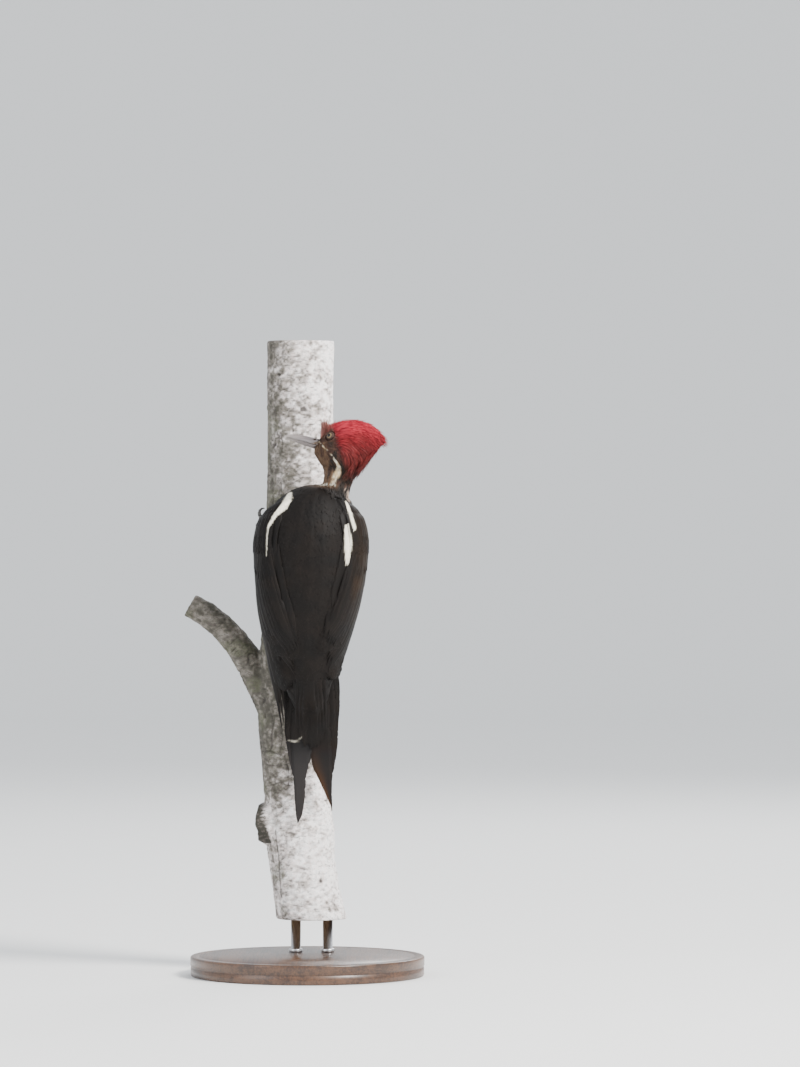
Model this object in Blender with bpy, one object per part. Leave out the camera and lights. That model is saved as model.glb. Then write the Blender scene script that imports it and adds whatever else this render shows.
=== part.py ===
"""A life-size lineated woodpecker clinging to a cut length of tree trunk on a display stand.

Metres, +Z up. The origin is the centre of the stand base's underside. The bird clings to the near side
of the trunk, its back towards -Y, and its head is turned to its left, towards -X.
"""

import math

import bmesh
import bpy
from mathutils import Matrix, Vector

GAP = 0.0003  # clearance between pieces that touch

# Display stand
BASE_RADIUS = 0.095
BASE_HEIGHT = 0.016
BASE_CHAMFER = 0.0025
ROD_RADIUS = 0.004
ROD_SPACING = 0.026

# Perch: a leaning length of trunk, sawn flat at both ends, with a side branch and a knot
PERCH_Y = 0.030
PERCH_BOTTOM = 0.044
PERCH_TOP = 0.515
PERCH_RINGS = 20
PERCH_SIDES = 22
PERCH_SHAPE = (  # height, centre X, radius
    (0.044, 0.0030, 0.0295),
    (0.082, -0.0046, 0.0272),
    (0.120, -0.0070, 0.0282),
    (0.150, -0.0095, 0.0260),
    (0.200, -0.0140, 0.0270),
    (0.260, -0.0115, 0.0285),
    (0.320, -0.0065, 0.0280),
    (0.400, -0.0060, 0.0278),
    (0.515, -0.0064, 0.0272),
)
BRANCH_PATH = (  # X, Y, height, radius
    (-0.0080, 0.031, 0.176, 0.0130),
    (-0.0250, 0.032, 0.2095, 0.0138),
    (-0.0410, 0.033, 0.2405, 0.0126),
    (-0.0572, 0.034, 0.2670, 0.0112),
    (-0.0765, 0.035, 0.2870, 0.0104),
    (-0.0965, 0.036, 0.2995, 0.0100),
)
KNOT_HEIGHT = 0.122
KNOT_REACH = 0.0338  # from the trunk's axis to the broken end
KNOT_RADIUS = 0.0135

# Bird's torso, in level sections: height, centre X, half width, back Y, belly Y
TORSO_SHAPE = (
    (0.195, 0.0035, 0.0120, -0.0400, -0.0200),
    (0.225, 0.0020, 0.0215, -0.0500, -0.0170),
    (0.252, 0.0002, 0.0272, -0.0610, -0.0140),
    (0.272, 0.0003, 0.0325, -0.0700, -0.0115),
    (0.300, 0.0018, 0.0375, -0.0785, -0.0090),
    (0.330, 0.0034, 0.0402, -0.0825, -0.0080),
    (0.354, 0.0038, 0.0405, -0.0825, -0.0088),
    (0.370, 0.0042, 0.0378, -0.0790, -0.0115),
    (0.380, 0.0050, 0.0335, -0.0745, -0.0150),
    (0.388, 0.0066, 0.0268, -0.0690, -0.0200),
    (0.394, 0.0085, 0.0190, -0.0625, -0.0270),
    (0.3975, 0.0100, 0.0085, -0.0535, -0.0370),
)
TORSO_BOTTOM = 0.252
TORSO_TOP = 0.3975
TORSO_SIDES = 24
TORSO_RINGS = 15

# Folded wings: a shell round the torso's sides. For each share of the way from wrist to tip, the height
# at the inner and outer edge, the angle of each edge from the middle of the back, and the thickness.
WING_SHAPE = (
    (0.00, 0.3880, 0.3800, 36, 84, 0.0014),
    (0.10, 0.3800, 0.3720, 42, 104, 0.0034),
    (0.25, 0.3640, 0.3580, 49, 116, 0.0046),
    (0.45, 0.3330, 0.3400, 48, 120, 0.0046),
    (0.65, 0.2980, 0.3080, 33, 116, 0.0042),
    (0.82, 0.2680, 0.2780, 18, 106, 0.0032),
    (0.94, 0.2450, 0.2520, 26, 95, 0.0020),
    (1.00, 0.2330, 0.2370, 46, 72, 0.0012),
)
WING_TIP_DROP = {"left": 0.0035, "right": -0.0055}  # one tip hangs lower than the other
WING_EDGE = 0.0010
WING_STANDOFF = 0.0009  # inner face to the torso, clear of its facets
COVERT_END = 0.45
SECONDARY_END = 0.87
PRIMARY_EDGE = ((0.45, 0.66), (0.65, 0.60), (0.82, 0.48), (0.90, 0.30), (0.92, 0.0), (1.00, 0.0))
PARTING = 0.008  # of the wing's width or length, between its feather groups

# Head, in its own frame: +X along the bill, +Y to the bird's left, origin at the bill's root
HEAD_PLACE = (0.0096, -0.0450, 0.4290)
HEAD_TURN = 160
HEAD_LIFT = 20
HEAD_SHAPE = (  # X, crown Z, throat Z, half width
    (0.0000, 0.0085, -0.0060, 0.0060),
    (-0.0040, 0.0150, -0.0095, 0.0098),
    (-0.0090, 0.0190, -0.0130, 0.0126),
    (-0.0160, 0.0212, -0.0160, 0.0146),
    (-0.0250, 0.0205, -0.0170, 0.0150),
    (-0.0330, 0.0165, -0.0140, 0.0128),
    (-0.0390, 0.0095, -0.0070, 0.0078),
    (-0.0412, 0.0045, -0.0010, 0.0030),
)
CREST_SHAPE = (  # X, top Z, bottom Z, half width
    (-0.0034, 0.0158, 0.0110, 0.0042),
    (-0.0080, 0.0215, 0.0100, 0.0078),
    (-0.0154, 0.0258, 0.0080, 0.0104),
    (-0.0230, 0.0288, 0.0060, 0.0112),
    (-0.0310, 0.0302, 0.0010, 0.0106),
    (-0.0380, 0.0298, -0.0080, 0.0088),
    (-0.0425, 0.0286, -0.0050, 0.0066),
    (-0.0470, 0.0268, 0.0090, 0.0042),
    (-0.0518, 0.0240, 0.0200, 0.0014),
)
NECK_SHAPE = (  # height, centre X, centre Y, half width, half depth
    (0.374, 0.0150, -0.0440, 0.0180, 0.0205),
    (0.388, 0.0205, -0.0440, 0.0138, 0.0184),
    (0.398, 0.0248, -0.0450, 0.0122, 0.0170),
    (0.408, 0.0275, -0.0465, 0.0132, 0.0162),
    (0.418, 0.0285, -0.0475, 0.0150, 0.0155),
)
EYE_PLACE = (-0.0102, 0.0094, 0.0112)  # on the left; the right one mirrors it
EYE_RADIUS = 0.0036
BILL_DROP = 9  # degrees below the head's own axis
UPPER_BILL = (  # X from the bill's root, ridge Z, edge Z, half width
    (0.0010, 0.0050, 0.0002, 0.0048),
    (0.0080, 0.0042, 0.0002, 0.0039),
    (0.0170, 0.0029, 0.0001, 0.0028),
    (0.0240, 0.0018, 0.0000, 0.0018),
    (0.0285, 0.0008, 0.0000, 0.0008),
)
LOWER_BILL = (  # X, edge Z, keel Z, half width
    (0.0010, -0.0002, -0.0040, 0.0045),
    (0.0080, -0.0002, -0.0034, 0.0036),
    (0.0170, -0.0003, -0.0025, 0.0026),
    (0.0235, -0.0004, -0.0016, 0.0017),
    (0.0268, -0.0005, -0.0011, 0.0008),
)

# Tail feathers, from the middle pair outwards. Each leaves the tail's root and ends at its tip.
TAIL_ROOT = 0.2514
TAIL_CENTRE = 0.0035
TAIL_SHAPE = (  # height, Y of the upper face
    (0.130, -0.0022),
    (0.160, -0.0095),
    (0.200, -0.0215),
    (0.2514, -0.0400),
)
TAIL_LAYER = 0.0014
TAIL_FEATHERS = {  # side: (X at the root, X at mid-length, X at the tip, tip height, half width) for each
    "left": (
        (-0.0046, -0.0054, -0.0072, 0.1300, 0.0076),
        (-0.0098, -0.0100, -0.0118, 0.1660, 0.0066),
        (-0.0128, -0.0122, -0.0140, 0.1800, 0.0058),
        (-0.0152, -0.0138, -0.0156, 0.1950, 0.0050),
        (-0.0170, -0.0150, -0.0168, 0.2120, 0.0040),
    ),
    "right": (
        (0.0116, 0.0128, 0.0205, 0.1370, 0.0076),
        (0.0160, 0.0180, 0.0212, 0.1640, 0.0066),
        (0.0186, 0.0204, 0.0222, 0.1780, 0.0058),
        (0.0204, 0.0218, 0.0232, 0.1940, 0.0050),
        (0.0216, 0.0228, 0.0240, 0.2110, 0.0040),
    ),
}
COVERT_TIP = 0.205  # how low the coverts over and under the tail's root reach

# Legs. Angles go round the trunk from its near side, positive to the right.
THIGH_TOPS = {"left": (-0.0150, -0.0300, 0.3100), "right": (0.0185, -0.0300, 0.2950)}
HEELS = {"left": (-0.0265, -0.0050, 0.3310), "right": (0.0250, -0.0050, 0.3150)}
TOE_ROOTS = {"left": (-50, 0.351), "right": (46, 0.336)}
SHANK_RADIUS = 0.0022
ANKLE_RADIUS = 0.0030
TOE_RADIUS = 0.0021
TOES = {  # name: sweep in degrees towards the trunk's near side, rise, girth, height of its last joint
    "inner": (18, 0.017, 0.90, 0.0018),
    "middle": (-26, 0.021, 1.00, 0.0026),
    "outer": (-46, 0.013, 1.00, 0.0042),
    "hind": (20, -0.012, 0.75, 0.0012),
}
CLAW_LENGTH = 0.0078
CLAW_BEND = 100  # degrees that a claw turns through on its way down to the bark

MATERIALS = {  # linear colour, roughness, metallic
    "black_plumage": ((0.018, 0.015, 0.014), 0.60, 0.0),
    "black_flight_feathers": ((0.022, 0.018, 0.016), 0.45, 0.0),
    "face_plumage": ((0.070, 0.040, 0.030), 0.70, 0.0),
    "red_crest": ((0.420, 0.012, 0.020), 0.65, 0.0),
    "bill_horn": ((0.420, 0.380, 0.340), 0.35, 0.0),
    "eye_gloss": ((0.650, 0.560, 0.330), 0.08, 0.0),
    "leg_skin": ((0.110, 0.105, 0.100), 0.60, 0.0),
    "claw_horn": ((0.060, 0.055, 0.050), 0.30, 0.0),
    "bark": ((0.450, 0.410, 0.380), 0.90, 0.0),
    "stand_wood": ((0.075, 0.035, 0.018), 0.40, 0.0),
    "stand_steel": ((0.550, 0.550, 0.560), 0.30, 1.0),
}


def material(name):
    found = bpy.data.materials.get(name)
    if found:
        return found
    colour, roughness, metallic = MATERIALS[name]
    made = bpy.data.materials.new(name)
    made.use_nodes = True
    shader = made.node_tree.nodes["Principled BSDF"]
    shader.inputs["Base Color"].default_value = (*colour, 1.0)
    shader.inputs["Roughness"].default_value = roughness
    shader.inputs["Metallic"].default_value = metallic
    return made


def on_curve(rows, at):
    """The row of values at a place along a smooth curve through rows of (place, value, ...)."""
    rows = sorted(rows)
    at = min(max(at, rows[0][0]), rows[-1][0])
    span = next(i for i in range(len(rows) - 1) if at <= rows[i + 1][0])

    def slope(i, k):
        low, high = max(i - 1, 0), min(i + 1, len(rows) - 1)
        return (rows[high][k] - rows[low][k]) / (rows[high][0] - rows[low][0])

    here, there = rows[span], rows[span + 1]
    step = there[0] - here[0]
    t = (at - here[0]) / step
    return [
        (2 * t**3 - 3 * t**2 + 1) * here[k]
        + (t**3 - 2 * t**2 + t) * step * slope(span, k)
        + (3 * t**2 - 2 * t**3) * there[k]
        + (t**3 - t**2) * step * slope(span + 1, k)
        for k in range(1, len(here))
    ]


def spaced(first, last, count):
    """Evenly spaced numbers, both ends included."""
    return [first + (last - first) * i / (count - 1) for i in range(count)]


def oval(centre, across, up, half_width, above, below, sides):
    """A ring round the centre, with its own height above and below it."""
    points = []
    for i in range(sides):
        turn = 2 * math.pi * i / sides
        lift = math.cos(turn)
        points.append(
            centre + across * (half_width * math.sin(turn)) + up * (lift * (above if lift > 0 else below))
        )
    return points


def add_object(name, mesh_build, slot, parent=None):
    """A named object from a bmesh, smooth except where its faces meet sharply."""
    bmesh.ops.recalc_face_normals(mesh_build, faces=mesh_build.faces)
    mesh = bpy.data.meshes.new(name)
    mesh_build.to_mesh(mesh)
    mesh_build.free()
    mesh.materials.append(material(slot))
    mesh.shade_smooth()
    mesh.set_sharp_from_angle(angle=math.radians(40))
    made = bpy.data.objects.new(name, mesh)
    bpy.context.scene.collection.objects.link(made)
    made.parent = parent
    return made


def add_loft(name, rings, slot, parent=None):
    """A closed solid through rings of points, its first and last ring filled in."""
    build = bmesh.new()
    loops = [[build.verts.new(point) for point in ring] for ring in rings]
    sides = len(rings[0])
    for low, high in zip(loops, loops[1:]):
        for i in range(sides):
            k = (i + 1) % sides
            build.faces.new((low[i], low[k], high[k], high[i]))
    build.faces.new(loops[0])
    build.faces.new(loops[-1])
    return add_object(name, build, slot, parent)


def add_tube(name, path, slot, sides, parent=None):
    """A solid round tube along a path of (point, radius)."""
    rings = []
    for i, (point, radius) in enumerate(path):
        before, after = path[max(i - 1, 0)][0], path[min(i + 1, len(path) - 1)][0]
        ahead = (after - before).normalized()
        across = ahead.cross(Vector((0, 1, 0.2))).normalized()
        rings.append(oval(point, across, across.cross(ahead), radius, radius, radius, sides))
    return add_loft(name, rings, slot, parent)


def add_ball(name, centre, radius, slot, parent=None):
    build = bmesh.new()
    place = Matrix.Translation(centre)
    bmesh.ops.create_uvsphere(build, u_segments=12, v_segments=7, radius=radius, matrix=place)
    return add_object(name, build, slot, parent)


def use_on(target, tool, operation):
    """Cuts the tool from the target, or joins it to it, and leaves the tool out of the part."""
    modifier = target.modifiers.new(tool.name, "BOOLEAN")
    modifier.operation = operation
    modifier.solver = "EXACT"
    modifier.object = tool
    tool.hide_render = True
    tool.display_type = "WIRE"


# Perch and stand


def perch_radius(height, angle):
    """The trunk's radius, with low swellings that wander up it."""
    turn = math.radians(angle)
    swell = 0.022 * math.sin(2 * turn + 31 * height) + 0.016 * math.sin(3 * turn - 57 * height + 1)
    return on_curve(PERCH_SHAPE, height)[1] * (1 + swell)


def on_perch(height, angle, standoff):
    """A point off the trunk's surface, at an angle from the side that faces the bird."""
    reach = perch_radius(height, angle) + standoff
    turn = math.radians(angle)
    centre = on_curve(PERCH_SHAPE, height)[0]
    return Vector((centre + reach * math.sin(turn), PERCH_Y - reach * math.cos(turn), height))


def make_perch():
    rings = []
    for height in spaced(PERCH_BOTTOM, PERCH_TOP, PERCH_RINGS):
        rings.append([on_perch(height, 360 * i / PERCH_SIDES, 0) for i in range(PERCH_SIDES)])
    perch = add_loft("perch_trunk", rings, "bark")

    rows = [(i, *row) for i, row in enumerate(BRANCH_PATH)]
    path = []
    for at in spaced(0, len(BRANCH_PATH) - 1, 9):
        x, y, z, radius = on_curve(rows, at)
        path.append((Vector((x, y, z)), radius))
    use_on(perch, add_tube("branch_tool", path, "bark", 16), "UNION")

    centre = on_curve(PERCH_SHAPE, KNOT_HEIGHT)[0]
    knot = []
    for share, girth, rise in ((0.3, 1.25, -0.007), (0.72, 1.12, -0.003), (0.95, 1.0, 0.0), (1.0, 0.82, 0.001)):
        place = Vector((centre - KNOT_REACH * share, PERCH_Y - 0.004, KNOT_HEIGHT + rise))
        knot.append((place, KNOT_RADIUS * girth))
    use_on(perch, add_tube("knot_tool", knot, "bark", 12), "UNION")


def make_stand():
    build = bmesh.new()
    bmesh.ops.create_cone(
        build,
        cap_ends=True,
        segments=40,
        radius1=BASE_RADIUS,
        radius2=BASE_RADIUS,
        depth=BASE_HEIGHT,
        matrix=Matrix.Translation((0, 0, BASE_HEIGHT / 2)),
    )
    rim = [edge for edge in build.edges if all(vert.co.z > BASE_HEIGHT / 2 for vert in edge.verts)]
    bmesh.ops.bevel(build, geom=rim, offset=BASE_CHAMFER, segments=2, profile=0.5, affect="EDGES")
    add_object("stand_base", build, "stand_wood")

    centre = on_curve(PERCH_SHAPE, PERCH_BOTTOM)[0]
    for name, side in (("left", -1), ("right", 1)):
        low, high = BASE_HEIGHT + GAP, PERCH_BOTTOM - GAP
        build = bmesh.new()
        place = Matrix.Translation((centre + side * ROD_SPACING / 2, PERCH_Y, (low + high) / 2))
        bmesh.ops.create_cone(
            build,
            cap_ends=True,
            segments=20,
            radius1=ROD_RADIUS,
            radius2=ROD_RADIUS,
            depth=high - low,
            matrix=place,
        )
        add_object("stand_rod_" + name, build, "stand_steel")


# Torso, neck and tail coverts


def around_torso(height, angle, standoff):
    """A point off the torso's surface, at an angle from the middle of the back."""
    x, half_width, back, belly = on_curve(TORSO_SHAPE, height)
    turn = math.radians(angle)
    half_depth = (belly - back) / 2 + standoff
    return Vector(
        (
            x + (half_width + standoff) * math.sin(turn),
            (belly + back) / 2 - half_depth * math.cos(turn),
            height,
        )
    )


def torso_rings(grow):
    """The torso's sections, closer together where its shoulders close in."""
    rings = []
    for share in spaced(0, 1, TORSO_RINGS):
        height = TORSO_BOTTOM + (TORSO_TOP - TORSO_BOTTOM) * (1 - (1 - share) ** 1.5)
        lifted = height - grow if share == 0 else height + grow * share
        ring = [around_torso(height, 360 * i / TORSO_SIDES, grow) for i in range(TORSO_SIDES)]
        rings.append([Vector((point.x, point.y, lifted)) for point in ring])
    return rings


def make_torso():
    add_loft("torso", torso_rings(0), "black_plumage")
    return add_loft("torso_tool", torso_rings(GAP), "black_plumage")


def make_neck(torso_tool, head_tool, crest_tool):
    rings = []
    for height in spaced(NECK_SHAPE[0][0], NECK_SHAPE[-1][0], 8):
        x, y, half_width, half_depth = on_curve(NECK_SHAPE, height)
        rings.append(
            oval(Vector((x, y, height)), Vector((1, 0, 0)), Vector((0, -1, 0)), half_width, half_depth, half_depth, 18)
        )
    neck = add_loft("neck", rings, "face_plumage")
    for tool in (torso_tool, head_tool, crest_tool):
        use_on(neck, tool, "DIFFERENCE")


def tail_face(height):
    """Y of the tail's upper face."""
    return on_curve(TAIL_SHAPE, height)[0]


def make_tail_coverts():
    """Two wedges that carry on the torso's shape, over and under the root of the tail."""
    top = TORSO_BOTTOM - GAP
    stack = TAIL_LAYER * len(TAIL_FEATHERS["left"])
    for name, upper in (("tail_coverts_upper", True), ("tail_coverts_lower", False)):
        rings = []
        for share in spaced(0, 1, 8):
            height = top + (COVERT_TIP - top) * share
            x, half_width, back, belly = on_curve(TORSO_SHAPE, height)
            face = tail_face(height)
            flat = face - GAP if upper else face + stack + GAP
            outer = (flat - back if upper else belly - flat) * (1 - share**2) + 0.0012
            width = half_width * math.sqrt(1 - 0.75 * share**2) * 0.86
            ring = []
            for turn in spaced(-90, 90, 13):
                angle = math.radians(turn)
                lift = outer * math.cos(angle)
                ring.append(Vector((x + width * math.sin(angle), flat - lift if upper else flat + lift, height)))
            rings.append(ring)
        add_loft(name, rings, "black_plumage")


# Wings


def wing_point(side, across, along, thickness_share):
    """A point in the wing's shell: across from its inner to its outer edge, along from wrist to tip."""
    inner_z, outer_z, inner, outer, thickest = on_curve(WING_SHAPE, along)
    drop = WING_TIP_DROP[side] * along**4
    height = inner_z + (outer_z - inner_z) * across - drop
    angle = inner + (outer - inner) * across
    thickness = WING_EDGE + (max(thickest, WING_EDGE) - WING_EDGE) * math.sin(math.pi * across) ** 0.8
    standoff = WING_STANDOFF + thickness * thickness_share
    return around_torso(height, angle if side == "right" else -angle, standoff)


def add_wing_piece(name, side, along_range, edges, across_count, along_count):
    """One group of feathers: the part of the wing's shell between two edges, as a closed solid."""
    build = bmesh.new()
    layers = []
    for share in (0, 1):
        grid = []
        for along in spaced(*along_range, along_count):
            low, high = edges(along)
            row = [wing_point(side, across, along, share) for across in spaced(low, high, across_count)]
            grid.append([build.verts.new(point) for point in row])
        layers.append(grid)
    for grid in layers:
        for i in range(along_count - 1):
            for k in range(across_count - 1):
                build.faces.new((grid[i][k], grid[i][k + 1], grid[i + 1][k + 1], grid[i + 1][k]))
    last_row, last_column = along_count - 1, across_count - 1
    rim = [(0, k) for k in range(last_column)]
    rim += [(i, last_column) for i in range(last_row)]
    rim += [(last_row, k) for k in range(last_column, 0, -1)]
    rim += [(i, 0) for i in range(last_row, 0, -1)]
    under, over = layers
    for (i, k), (m, n) in zip(rim, rim[1:] + rim[:1]):
        build.faces.new((under[i][k], under[m][n], over[m][n], over[i][k]))
    add_object(name, build, "black_flight_feathers")


def make_wings():
    def whole(along):
        return 0.0, 1.0

    def secondary(along):
        return 0.0, on_curve(PRIMARY_EDGE, along)[0] - PARTING

    def primary(along):
        return max(on_curve(PRIMARY_EDGE, along)[0], 0.0) + PARTING, 1.0

    for side in ("left", "right"):
        add_wing_piece("wing_coverts_" + side, side, (0, COVERT_END - PARTING), whole, 9, 8)
        add_wing_piece("wing_secondaries_" + side, side, (COVERT_END, SECONDARY_END), secondary, 7, 7)
        add_wing_piece("wing_primaries_" + side, side, (COVERT_END, 1), primary, 6, 12)


# Head


def along_bill(shape, grow, sides, count):
    """Rings along the head's X axis through rows of (X, top, bottom, half width)."""
    rings = []
    for at in spaced(shape[0][0], shape[-1][0], count):
        top, bottom, half_width = on_curve(shape, at)
        half = (top - bottom) / 2 + grow
        centre = Vector((at, 0, (top + bottom) / 2))
        rings.append(oval(centre, Vector((0, 1, 0)), Vector((0, 0, 1)), half_width + grow, half, half, sides))
    for ring, outwards in ((rings[0], grow), (rings[-1], -grow)):
        for point in ring:
            point.x += outwards
    return rings


def make_head():
    """The head, crest, bill and eyes, carried by one empty at the bill's root."""
    pose = bpy.data.objects.new("head_pose", None)
    pose.location = HEAD_PLACE
    pose.rotation_euler = (0, -math.radians(HEAD_LIFT), math.radians(HEAD_TURN))
    bpy.context.scene.collection.objects.link(pose)

    head = add_loft("head", along_bill(HEAD_SHAPE, 0, 20, 12), "face_plumage", pose)
    head_tool = add_loft("head_tool", along_bill(HEAD_SHAPE, GAP, 20, 12), "face_plumage", pose)
    crest = add_loft("crest", along_bill(CREST_SHAPE, 0, 18, 11), "red_crest", pose)
    crest_tool = add_loft("crest_tool", along_bill(CREST_SHAPE, GAP, 18, 11), "red_crest", pose)
    use_on(crest, head_tool, "DIFFERENCE")

    for side, lateral in (("left", 1), ("right", -1)):
        place = (EYE_PLACE[0], EYE_PLACE[1] * lateral, EYE_PLACE[2])
        add_ball("eye_" + side, place, EYE_RADIUS, "eye_gloss", pose)
        socket = add_ball("socket_tool_" + side, place, EYE_RADIUS + GAP, "eye_gloss", pose)
        use_on(head, socket, "DIFFERENCE")

    bill = bpy.data.objects.new("bill_pose", None)
    bill.rotation_euler = (0, math.radians(BILL_DROP), 0)
    bill.parent = pose
    bpy.context.scene.collection.objects.link(bill)
    for name, shape, keel in (("bill_upper", UPPER_BILL, False), ("bill_lower", LOWER_BILL, True)):
        rings = []
        for at in spaced(shape[0][0], shape[-1][0], 8):
            top, bottom, half_width = on_curve(shape, at)
            edge, reach = (top, top - bottom) if keel else (bottom, top - bottom)
            ring = []
            for turn in spaced(-90, 90, 9):
                angle = math.radians(turn)
                lift = reach * math.cos(angle) ** 0.85 if abs(turn) < 90 else 0
                ring.append(Vector((at, half_width * math.sin(angle), edge - lift if keel else edge + lift)))
            rings.append(ring)
        add_loft(name, rings, "bill_horn", bill)
    return head_tool, crest_tool


# Tail


def make_tail():
    """Five pairs of stiff pointed feathers, layered with the middle pair on top."""
    for side, feathers in TAIL_FEATHERS.items():
        for number, (root, middle, tip, tip_height, half_width) in enumerate(feathers, 1):
            line = ((0, root), (0.5, middle), (1, tip))
            rings = []
            for share in (0, 0.15, 0.35, 0.55, 0.72, 0.86, 0.95, 1):
                height = TAIL_ROOT + (tip_height - TAIL_ROOT) * share
                width = half_width * min(0.62 + 1.6 * share, 1) * (1 - max(share - 0.45, 0) ** 1.6 / 0.55**1.6 * 0.88)
                face = tail_face(height) + TAIL_LAYER * (number - 1)
                x = on_curve(line, share)[0]
                ring = []
                for across, thin in ((-1, 0), (0, 0), (1, 0), (1, 0.0006), (0, 0.0010), (-1, 0.0006)):
                    ring.append(Vector((x + across * width, face + thin + 0.0002 * abs(across), height)))
                rings.append(ring)
            add_loft(f"tail_feather_{side}_{number}", rings, "black_flight_feathers")


# Legs


def toe_point(side, name, share):
    """A point along a toe's middle line, which lies on the bark and rises towards the claw."""
    root_angle, root_height = TOE_ROOTS[side]
    sweep, rise, girth, lift = TOES[name]
    inwards = 1 if side == "left" else -1
    standoff = TOE_RADIUS * girth * 1.12 + 2 * GAP + lift * share**2
    return on_perch(root_height + rise * share, root_angle + inwards * sweep * share, standoff)


def off_bark(point):
    """The unit vector away from the trunk's middle at a point, and the point's height over the bark."""
    across = Vector((point.x - on_curve(PERCH_SHAPE, point.z)[0], point.y - PERCH_Y, 0))
    angle = math.degrees(math.atan2(across.x, -across.y))
    return across.normalized(), across.length - perch_radius(point.z, angle)


def make_claw(side, name):
    """A claw that leaves its toe straight ahead and bends down to the bark."""
    girth = TOES[name][2]
    tip = toe_point(side, name, 1)
    ahead = (tip - toe_point(side, name, 0.95)).normalized()
    root, reach = tip + ahead * 2 * GAP, CLAW_LENGTH * girth
    outwards = off_bark(tip)[0]
    bend = math.radians(CLAW_BEND)
    fall = (off_bark(root + ahead * reach * math.sin(bend))[1] - 3 * GAP) / (1 - math.cos(bend))
    path = []
    for share in (0, 0.2, 0.45, 0.7, 0.9, 1):
        turn = bend * share
        place = root + ahead * reach * math.sin(turn) - outwards * fall * (1 - math.cos(turn))
        path.append((place, TOE_RADIUS * girth * 0.72 * (1 - share) ** 0.7 + 0.0003))
    add_tube(f"claw_{name}_{side}", path, "claw_horn", 6)


def make_foot(side):
    """Four toes grown together at the ankle, each with its claw, and tools that clear a way for the shank."""
    root_angle, root_height = TOE_ROOTS[side]
    ankle = on_perch(root_height, root_angle, ANKLE_RADIUS + 2 * GAP)
    foot = add_ball("foot_" + side, ankle, ANKLE_RADIUS, "leg_skin")
    clearance = [add_ball("ankle_tool_" + side, ankle, ANKLE_RADIUS + GAP, "leg_skin")]
    for name, toe in TOES.items():
        girth = TOE_RADIUS * toe[2]
        path = []
        for share in spaced(0, 1, 6):
            knuckle = 1 + 0.10 * math.cos(4 * math.pi * share)
            path.append((toe_point(side, name, share), girth * knuckle * (1 - 0.16 * share)))
        use_on(foot, add_tube(f"toe_{name}_tool_{side}", path, "leg_skin", 7), "UNION")
        wider = [(point, radius + GAP) for point, radius in path[:4]]
        clearance.append(add_tube(f"toe_{name}_room_{side}", wider, "leg_skin", 8))
        make_claw(side, name)
    return clearance


def make_leg(side, torso_tool):
    """A feathered thigh out of the belly, a bare shank from the heel, and the foot that grips the bark."""
    clearance = make_foot(side)
    top, heel = Vector(THIGH_TOPS[side]), Vector(HEELS[side])
    path = []
    for share, radius in ((0, 0.0120), (0.25, 0.0120), (0.5, 0.0105), (0.75, 0.0078), (0.92, 0.0048), (1, 0.0030)):
        path.append((top.lerp(heel, share), radius))
    thigh = add_tube("thigh_" + side, path, "black_plumage", 14)
    use_on(thigh, torso_tool, "DIFFERENCE")

    angle, height = TOE_ROOTS[side]
    ankle = on_perch(height, angle, ANKLE_RADIUS + 2 * GAP)
    path = []
    for share, girth in ((0, 1.2), (0.12, 1.0), (0.5, 0.9), (0.85, 1.0), (1, 1.15)):
        path.append((heel.lerp(ankle, share), SHANK_RADIUS * girth))
    shank = add_tube("shank_" + side, path, "leg_skin", 8)
    for tool in clearance:
        use_on(shank, tool, "DIFFERENCE")
    above = heel - (ankle - heel).normalized() * GAP
    path = [(point, radius + GAP) for point, radius in ((above, path[0][1]), path[1])]
    use_on(thigh, add_tube("heel_tool_" + side, path, "leg_skin", 8), "DIFFERENCE")


def main():
    for old in list(bpy.data.objects):
        bpy.data.objects.remove(old)
    make_stand()
    make_perch()
    torso_tool = make_torso()
    head_tool, crest_tool = make_head()
    make_neck(torso_tool, head_tool, crest_tool)
    make_wings()
    make_tail_coverts()
    make_tail()
    for side in ("left", "right"):
        make_leg(side, torso_tool)


main()
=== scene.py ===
import math

import bmesh
import bpy
import numpy as np
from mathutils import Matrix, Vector
from mathutils.bvhtree import BVHTree


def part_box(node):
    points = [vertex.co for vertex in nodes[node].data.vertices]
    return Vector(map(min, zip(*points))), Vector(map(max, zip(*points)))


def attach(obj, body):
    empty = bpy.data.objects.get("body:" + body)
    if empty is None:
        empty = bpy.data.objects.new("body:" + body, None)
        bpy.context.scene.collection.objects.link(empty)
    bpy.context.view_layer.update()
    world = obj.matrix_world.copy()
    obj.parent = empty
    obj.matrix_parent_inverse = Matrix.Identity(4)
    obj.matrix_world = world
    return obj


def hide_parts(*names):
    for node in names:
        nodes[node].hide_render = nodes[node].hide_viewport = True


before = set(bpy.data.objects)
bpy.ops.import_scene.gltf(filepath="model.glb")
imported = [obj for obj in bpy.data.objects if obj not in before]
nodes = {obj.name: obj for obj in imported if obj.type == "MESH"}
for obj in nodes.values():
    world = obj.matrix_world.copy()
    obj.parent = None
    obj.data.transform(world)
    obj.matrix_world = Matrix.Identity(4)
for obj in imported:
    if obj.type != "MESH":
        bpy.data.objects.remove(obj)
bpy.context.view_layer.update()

rng = np.random.default_rng(11)
mm = 0.001
fullTurn = 2 * math.pi
bothSides = ("left", "right")


# Shader maths: a socket that adds, multiplies and so on by making Math nodes

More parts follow.
